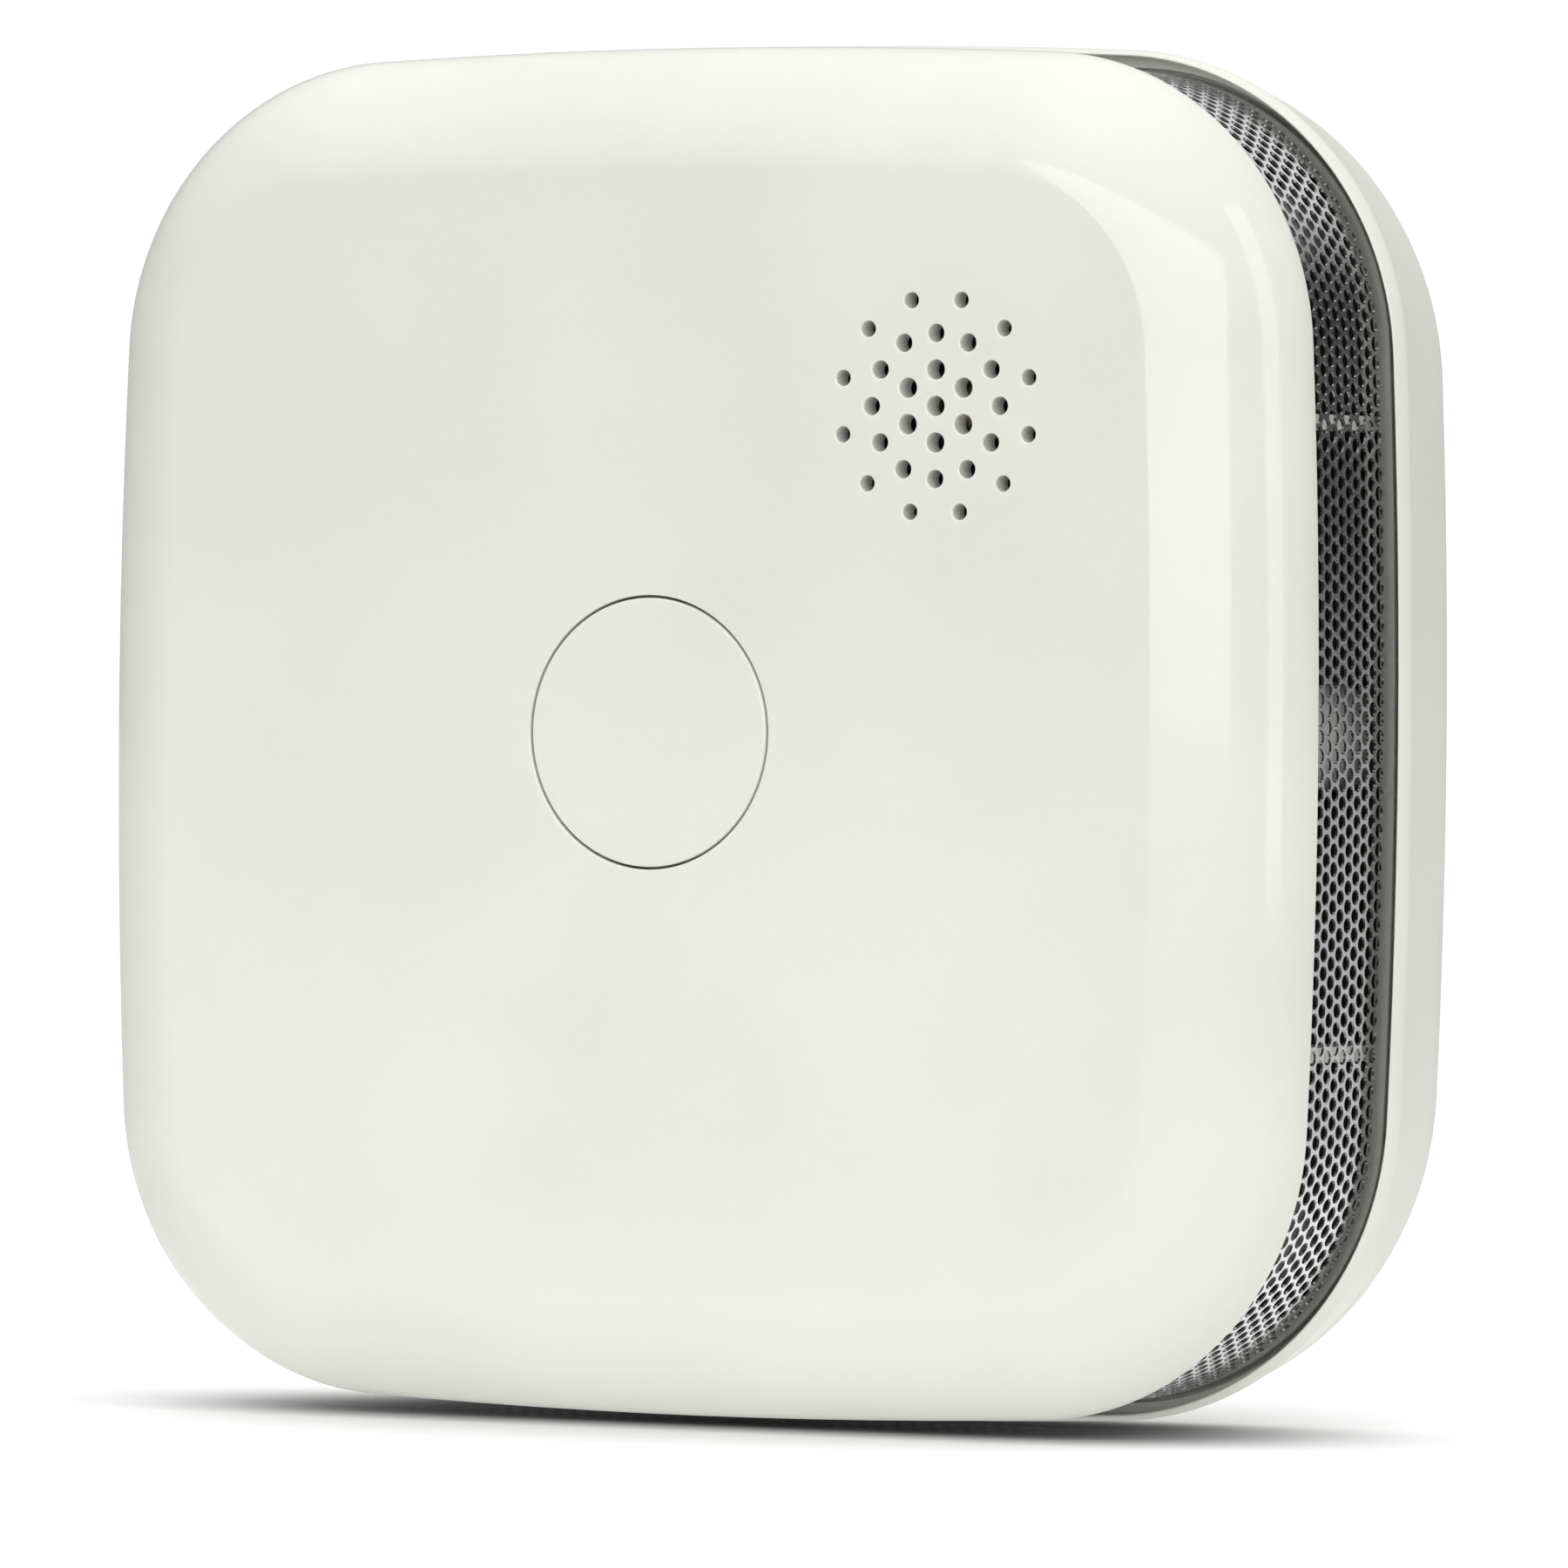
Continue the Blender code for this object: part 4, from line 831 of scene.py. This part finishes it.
def mounting_plate():
    """The wall plate: two rims, bayonet slots, screw slots, and thin ribs on its wall side."""
    inner_rim, outer_rim = PLATE_OPENING + PLATE_RIM, PLATE_RADIUS - PLATE_RIM
    profile = [(PLATE_RADIUS, PLATE_HEIGHT), (PLATE_RADIUS, 0), (outer_rim, 0),
               (outer_rim, PLATE_WEB), (inner_rim, PLATE_WEB), (inner_rim, 0),
               (PLATE_OPENING, 0), (PLATE_OPENING, PLATE_HEIGHT)]
    ring = temporary(lathe(profile))
    cuts, pads, pockets = bmesh.new(), bmesh.new(), bmesh.new()
    half_hook = HOOK_SPAN / 2 + HOOK_PLAY
    low, high = PLATE_WEB - WALL, PLATE_HEIGHT + WALL
    narrow = ring_section(HOOK_RADIUS, HOOK_STEM + 2 * GAP, low, high)
    wide = ring_section(HOOK_RADIUS, HOOK_HEAD + 2 * GAP, low - 1 * MM, high + 1 * MM)
    for angle in HOOK_ANGLES:
        arc_block(cuts, narrow, angle - half_hook, angle + half_hook + TWIST)
    centre, length, width = WALL_SLOT
    for side in (1, -1):
        for turn in (0, 1):
            add_slab(pads, side * centre, turn, SEAT_PAD, 0, PLATE_WEB + BEDDED)
            add_slab(pockets, side * centre, turn, SEAT_POCKET, SEAT_HEIGHT, high)
            add_slab(cuts, side * centre, turn, (width, length), low - 1 * MM, high + 1 * MM)
    combine(ring, pads, "UNION")
    combine(ring, pockets, "DIFFERENCE")
    combine(ring, cuts, "DIFFERENCE")
    cuts = bmesh.new()
    for angle in HOOK_ANGLES:
        arc_block(cuts, wide, angle + TWIST - half_hook, angle + TWIST + half_hook)
    combine(ring, cuts, "DIFFERENCE")
    ribs = bmesh.new()
    middle, width = (outer_rim + inner_rim) / 2, outer_rim - inner_rim + 2 * GAP
    section = ring_section(middle, width, GAP, PLATE_WEB + BEDDED / 2)
    for angle in PLATE_RIB_ANGLES:
        arc_block(ribs, section, angle - 0.8, angle + 0.8)
    combine(ring, ribs, "UNION")
    finish_piece("plate_ring", ring, PLATE_SATIN, "wall_plate", ["mounting_plate"],
                 bevel=0.12 * MM)


def battery_door():
    """The door: a panel with grip grooves and a tab, on a barrel with two pegs."""
    axis_up, axis_out = DOOR_AXIS
    rear = RECESS_FLOOR
    bm = bmesh.new()
    add_box(bm, (-DOOR_HALF, DOOR_BOTTOM, rear), (DOOR_HALF, axis_up, rear + DOOR_THICK))
    panel = temporary(bm)
    extras = bmesh.new()
    add_rod(extras, (0, axis_up, axis_out), DOOR_BARREL, -DOOR_HALF, DOOR_HALF, 32, "X")
    combine(panel, extras, "UNION")
    extras = bmesh.new()
    reach = DOOR_HALF + PEG_LENGTH
    add_rod(extras, (0, axis_up, axis_out), PEG_RADIUS, -reach, reach, 32, "X")
    add_box(extras, (-TAB_HALF, DOOR_BOTTOM - TAB_LENGTH, rear),
            (TAB_HALF, DOOR_BOTTOM + BEDDED, rear + TAB_THICK))
    combine(panel, extras, "UNION")
    grooves = bmesh.new()
    for i in range(GRIP_COUNT):
        y = DOOR_BOTTOM + 2 * MM + GRIP_STEP * i
        half = TAB_HALF + 2 * MM - 0.9 * MM * i
        add_box(grooves, (-half, y, rear - 1 * MM), (half, y + 0.55 * MM, rear + 0.4 * MM))
    combine(panel, grooves, "DIFFERENCE")
    finish_piece("door_panel", panel, PLATE_SATIN, "battery_door", ["battery_door"],
                 bevel=0.1 * MM)


def battery():
    """The cell: a sleeve shrunk over the edges of a nickelled can, and its raised terminal."""
    end = BATTERY_LENGTH / 2
    full, sleeve = BATTERY_RADIUS, BATTERY_RADIUS - 0.9 * MM
    top = end - 1 * MM
    profile = [(0, end), (2.5 * MM, end), (2.8 * MM, end - 0.3 * MM), (2.8 * MM, top - 0.15 * MM),
               (sleeve - 1 * MM, top - 0.15 * MM), (sleeve, top - 0.15 * MM), (sleeve, top),
               (full - 0.4 * MM, top), (full - 0.1 * MM, top - 0.15 * MM), (full, top - 0.5 * MM),
               (full, -end + 0.5 * MM), (full - 0.1 * MM, -end + 0.15 * MM), (full - 0.4 * MM, -end),
               (sleeve, -end), (sleeve, -end + 0.15 * MM), (0, -end + 0.15 * MM)]
    bm = lathe(profile, 96)
    for face in bm.faces:
        reach = max(math.hypot(v.co.x, v.co.y) for v in face.verts)
        face.material_index = 0 if reach > sleeve * 1.001 else 1
    place = Matrix.Translation((BATTERY_START + end, *BATTERY_AT))
    bm.transform(place @ Matrix.Rotation(math.pi / 2, 4, "Y"))
    cell = temporary(bm)
    cell.data.materials.append(CELL_SLEEVE)
    cell.data.materials.append(NICKEL)
    finish_piece("battery_cell", cell, CELL_SLEEVE, "detector", ["battery"])


def case_screws():
    """Screws with a domed head and a ridged shank. Not every cut for the cross recess takes."""
    (radius, head, seat), (root, crest) = SCREW_HEAD, SCREW_THREAD
    thread = []
    for i in range(THREAD_TURNS):
        height = SCREW_TIP - 1.4 * MM - i * THREAD_PITCH
        thread += [(root, height + 0.25 * MM), (crest, height), (root, height - 0.25 * MM)]
    profile = [(0, SCREW_TIP), (0.35 * MM, SCREW_TIP - 0.1 * MM)] + thread + [
        (1.2 * MM, seat + 0.2 * MM), (1.2 * MM, seat), (radius - 0.15 * MM, seat),
        (radius, seat - 0.15 * MM), (radius, seat - 1.1 * MM), (2.5 * MM, seat - 1.6 * MM),
        (2.0 * MM, head + 0.05 * MM), (0, head)]
    long, wide = CROSS_HALF
    for number, (x, y) in enumerate(case_screw_places(), 1):
        place = Matrix.Translation((x, y, 0))
        bm = lathe(profile, 40)
        bm.transform(place @ Matrix.Rotation(number * 0.9, 4, "Z"))
        screw = temporary(bm)
        for turn in (0, math.pi / 2):
            slot = bmesh.new()
            add_box(slot, (-long, -wide, head - 1 * MM), (long, wide, head + CROSS_DEPTH))
            slot.transform(place @ Matrix.Rotation(number * 0.9 + turn, 4, "Z"))
            combine(screw, slot, "DIFFERENCE")
        name = "case_screw_%d" % number
        finish_piece("cross_head_%d" % number, screw, ZINC, "detector", [name],
                     weighted=False)


def dress_solids():
    """Finish the inner pieces that keep their solids' own shape."""
    looks = {
        "inner_frame": (BLACK_PLASTIC, 0.2), "circuit_board": (circuit_green(), 0.1),
        "chamber_base": (BLACK_PLASTIC, 0.0), "chamber_cap": (BLACK_PLASTIC, 0.15),
        "ir_emitter": (resin("clear_resin", (0.62, 0.7, 0.86), 0.85), 0.0),
        "photodiode": (resin("dark_resin", (0.05, 0.02, 0.06), 0.2), 0.0),
        "sounder_cup": (BLACK_PLASTIC, 0.15), "piezo_disc": (BRASS, 0.0), "sounder_gasket": (foam(), 0.0),
        "sounder_lead_red": (LEAD_RED, 0.0), "sounder_lead_black": (LEAD_BLACK, 0.0),
        "switch_body": (CHIP_BLACK, 0.12), "switch_plunger": (LEAD_BLACK, 0.1),
        "button_retainer": (WHITE_SATIN, 0.15), "microcontroller": (CHIP_BLACK, 0.0),
        "status_led": (resin("led_resin", (0.9, 0.88, 0.74), 0.7), 0.0), "sounder_coil": (CHIP_BLACK, 0.15),
        "storage_capacitor": (CAPACITOR_SLEEVE, 0.0), "battery_contact_positive": (NICKEL, 0.05),
        "battery_contact_negative": (NICKEL, 0.05), "battery_spring": (ZINC, 0.0),
        "board_screw_left": (ZINC, 0.1), "board_screw_right": (ZINC, 0.1),
    }
    for name, (material, edge) in looks.items():
        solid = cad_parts[name]
        solid.data.materials.clear()
        solid.data.materials.append(material)
        if edge:
            add_bevel(solid, edge * MM)


front_cover()
test_button()
insect_mesh()
rear_housing()
mounting_plate()
battery_door()
battery()
case_screws()
dress_solids()


# ---------------------------------------------------------------- stage, light and camera

def add_camera():
    """The camera, turned to the right of the face's axis and a little above."""
    forward = Vector((-math.sin(VIEW_AZIMUTH) * math.cos(VIEW_DOWN),
                      math.cos(VIEW_AZIMUTH) * math.cos(VIEW_DOWN), -math.sin(VIEW_DOWN)))
    level = Vector((math.cos(VIEW_AZIMUTH), math.sin(VIEW_AZIMUTH), 0))
    upright = level.cross(forward)
    right = math.cos(VIEW_ROLL) * level + math.sin(VIEW_ROLL) * upright
    up = right.cross(forward)
    place = Vector((0, -FACE_HEIGHT, 0)) + AIM_RIGHT * right + AIM_UP * up - VIEW_DISTANCE * forward
    lens = bpy.data.cameras.new("camera")
    lens.lens = LENS
    lens.sensor_width = 36
    lens.clip_start = 0.01
    camera = bpy.data.objects.new("camera", lens)
    axes = Matrix((right, up, -forward)).transposed()
    camera.matrix_world = Matrix.Translation(place) @ axes.to_4x4()
    bpy.context.scene.collection.objects.link(camera)
    bpy.context.scene.camera = camera


def add_softbox(name, azimuth, elevation, distance, width, height, power):
    """An area light aimed at the object; azimuth runs from the face's axis towards +X."""
    turn, rise = math.radians(azimuth), math.radians(elevation)
    away = Vector((math.sin(turn) * math.cos(rise), -math.cos(turn) * math.cos(rise), math.sin(rise)))
    lamp = bpy.data.lights.new(name, "AREA")
    lamp.shape = "RECTANGLE"
    lamp.size = width
    lamp.size_y = height
    lamp.energy = power
    light = bpy.data.objects.new(name, lamp)
    light.location = away * distance
    light.rotation_euler = away.to_track_quat("Z", "Y").to_euler()
    bpy.context.scene.collection.objects.link(light)


def add_stage(lowest):
    """A pale floor under the object, with a painted contact shadow round it that only the camera sees,
    which turns into a white room further out.
    """
    bm = bmesh.new()
    bmesh.ops.create_grid(bm, x_segments=1, y_segments=1, size=6)
    mesh = bpy.data.meshes.new("floor")
    bm.to_mesh(mesh)
    bm.free()
    floor = bpy.data.objects.new("floor", mesh)
    floor.location = (0, 0, lowest)
    bpy.context.scene.collection.objects.link(floor)
    material = bpy.data.materials.new("pale_floor")
    material.use_nodes = True
    tree = material.node_tree
    tree.nodes.clear()
    place = link_node(tree, "ShaderNodeTexCoord").outputs["Object"]
    seen = link_node(tree, "ShaderNodeLightPath").outputs["Is Camera Ray"]
    # Painted shadow: ambient occlusion near the object darkens the floor's colour and glow, for camera rays
    # only
    painted_shadow_ao = link_node(tree, "ShaderNodeAmbientOcclusion", {"Distance": PAINTED_SHADOW_REACH}, samples=12)
    shade = link_node(tree, "ShaderNodeMath", {0: painted_shadow_ao.outputs["AO"], 1: PAINTED_SHADOW_DEPTH},
                      operation="POWER").outputs[0]
    shade = link_node(tree, "ShaderNodeMix", {0: seen, 2: 1.0, 3: shade}).outputs[0]
    paper = mix_colour(tree, noise(tree, place, 3), (0.97, 0.97, 0.97, 1), (0.95, 0.95, 0.95, 1))
    paper = mix_colour(tree, shade, (0, 0, 0, 1), paper)
    paper = mix_colour(tree, seen, (FLOOR_BOUNCE, FLOOR_BOUNCE, FLOOR_BOUNCE, 1), paper)
    matt = link_node(tree, "ShaderNodeBsdfDiffuse", {"Color": paper}).outputs[0]
    sheen = link_node(tree, "ShaderNodeBsdfGlossy", {"Roughness": 0.1}).outputs[0]
    near = link_node(tree, "ShaderNodeMixShader", {0: FLOOR_GLOSS, 1: matt, 2: sheen}).outputs[0]
    strength = link_node(tree, "ShaderNodeMath", {0: shade, 1: FLOOR_GLOW},
                         operation="MULTIPLY").outputs[0]
    reach = link_node(tree, "ShaderNodeVectorMath", {0: place}, operation="LENGTH").outputs["Value"]
    close = scaled(tree, reach, 0.06, 0.12, BOUNCE_GLOW, 0)
    strength = link_node(tree, "ShaderNodeMix", {0: seen, 2: close, 3: strength}).outputs[0]
    glow = link_node(tree, "ShaderNodeEmission", {"Strength": strength}).outputs[0]
    lit = link_node(tree, "ShaderNodeAddShader", {0: near, 1: glow}).outputs[0]
    strength = link_node(tree, "ShaderNodeMix", {0: seen, 2: FLOOR_FAR, 3: WHITE_BEHIND}).outputs[0]
    white = link_node(tree, "ShaderNodeEmission", {"Strength": strength}).outputs[0]
    far = scaled(tree, reach, 0.2, 0.45, 0, 1)
    surface = link_node(tree, "ShaderNodeMixShader", {0: far, 1: lit, 2: white}).outputs[0]
    link_node(tree, "ShaderNodeOutputMaterial", {"Surface": surface})
    mesh.materials.append(material)


def add_room():
    """A room that looks white and lights the object more from the front than from behind."""
    world = bpy.data.worlds.new("white_room")
    world.use_nodes = True
    tree = world.node_tree
    room = tree.nodes["Background"]
    direction = link_node(tree, "ShaderNodeTexCoord").outputs["Generated"]
    parts = link_node(tree, "ShaderNodeSeparateXYZ", {"Vector": direction})
    light = scaled(tree, parts.outputs["Y"], -0.2, 0.85, ROOM_FRONT, ROOM_BACK)
    above = scaled(tree, parts.outputs["Z"], 0.2, 0.95, 0, ROOM_ABOVE)
    light = link_node(tree, "ShaderNodeMath", {0: light, 1: above}, operation="ADD").outputs[0]
    towards_panel = link_node(tree, "ShaderNodeVectorMath", {0: direction, 1: DARK_PANEL},
                              operation="DOT_PRODUCT").outputs["Value"]
    dark = scaled(tree, towards_panel, 0.86, 0.97, 0, 1)
    light = link_node(tree, "ShaderNodeMix", {0: dark, 2: light, 3: ROOM_DARK}).outputs[0]
    seen = link_node(tree, "ShaderNodeLightPath").outputs["Is Camera Ray"]
    strength = link_node(tree, "ShaderNodeMix", {0: seen, 2: light, 3: WHITE_BEHIND}).outputs[0]
    tree.links.new(strength, room.inputs["Strength"])
    room.inputs["Color"].default_value = (1, 1, 1, 1)
    bpy.context.scene.world = world
    bpy.context.scene.view_settings.view_transform = "Standard"


add_camera()
add_stage(cad_box[0][2])
add_room()
add_softbox("key_softbox", 19, 19, 1.0, 1.5, 0.7, 6.4)
add_softbox("side_strip", 85, 20, 0.9, 0.2, 0.9, 0.9)
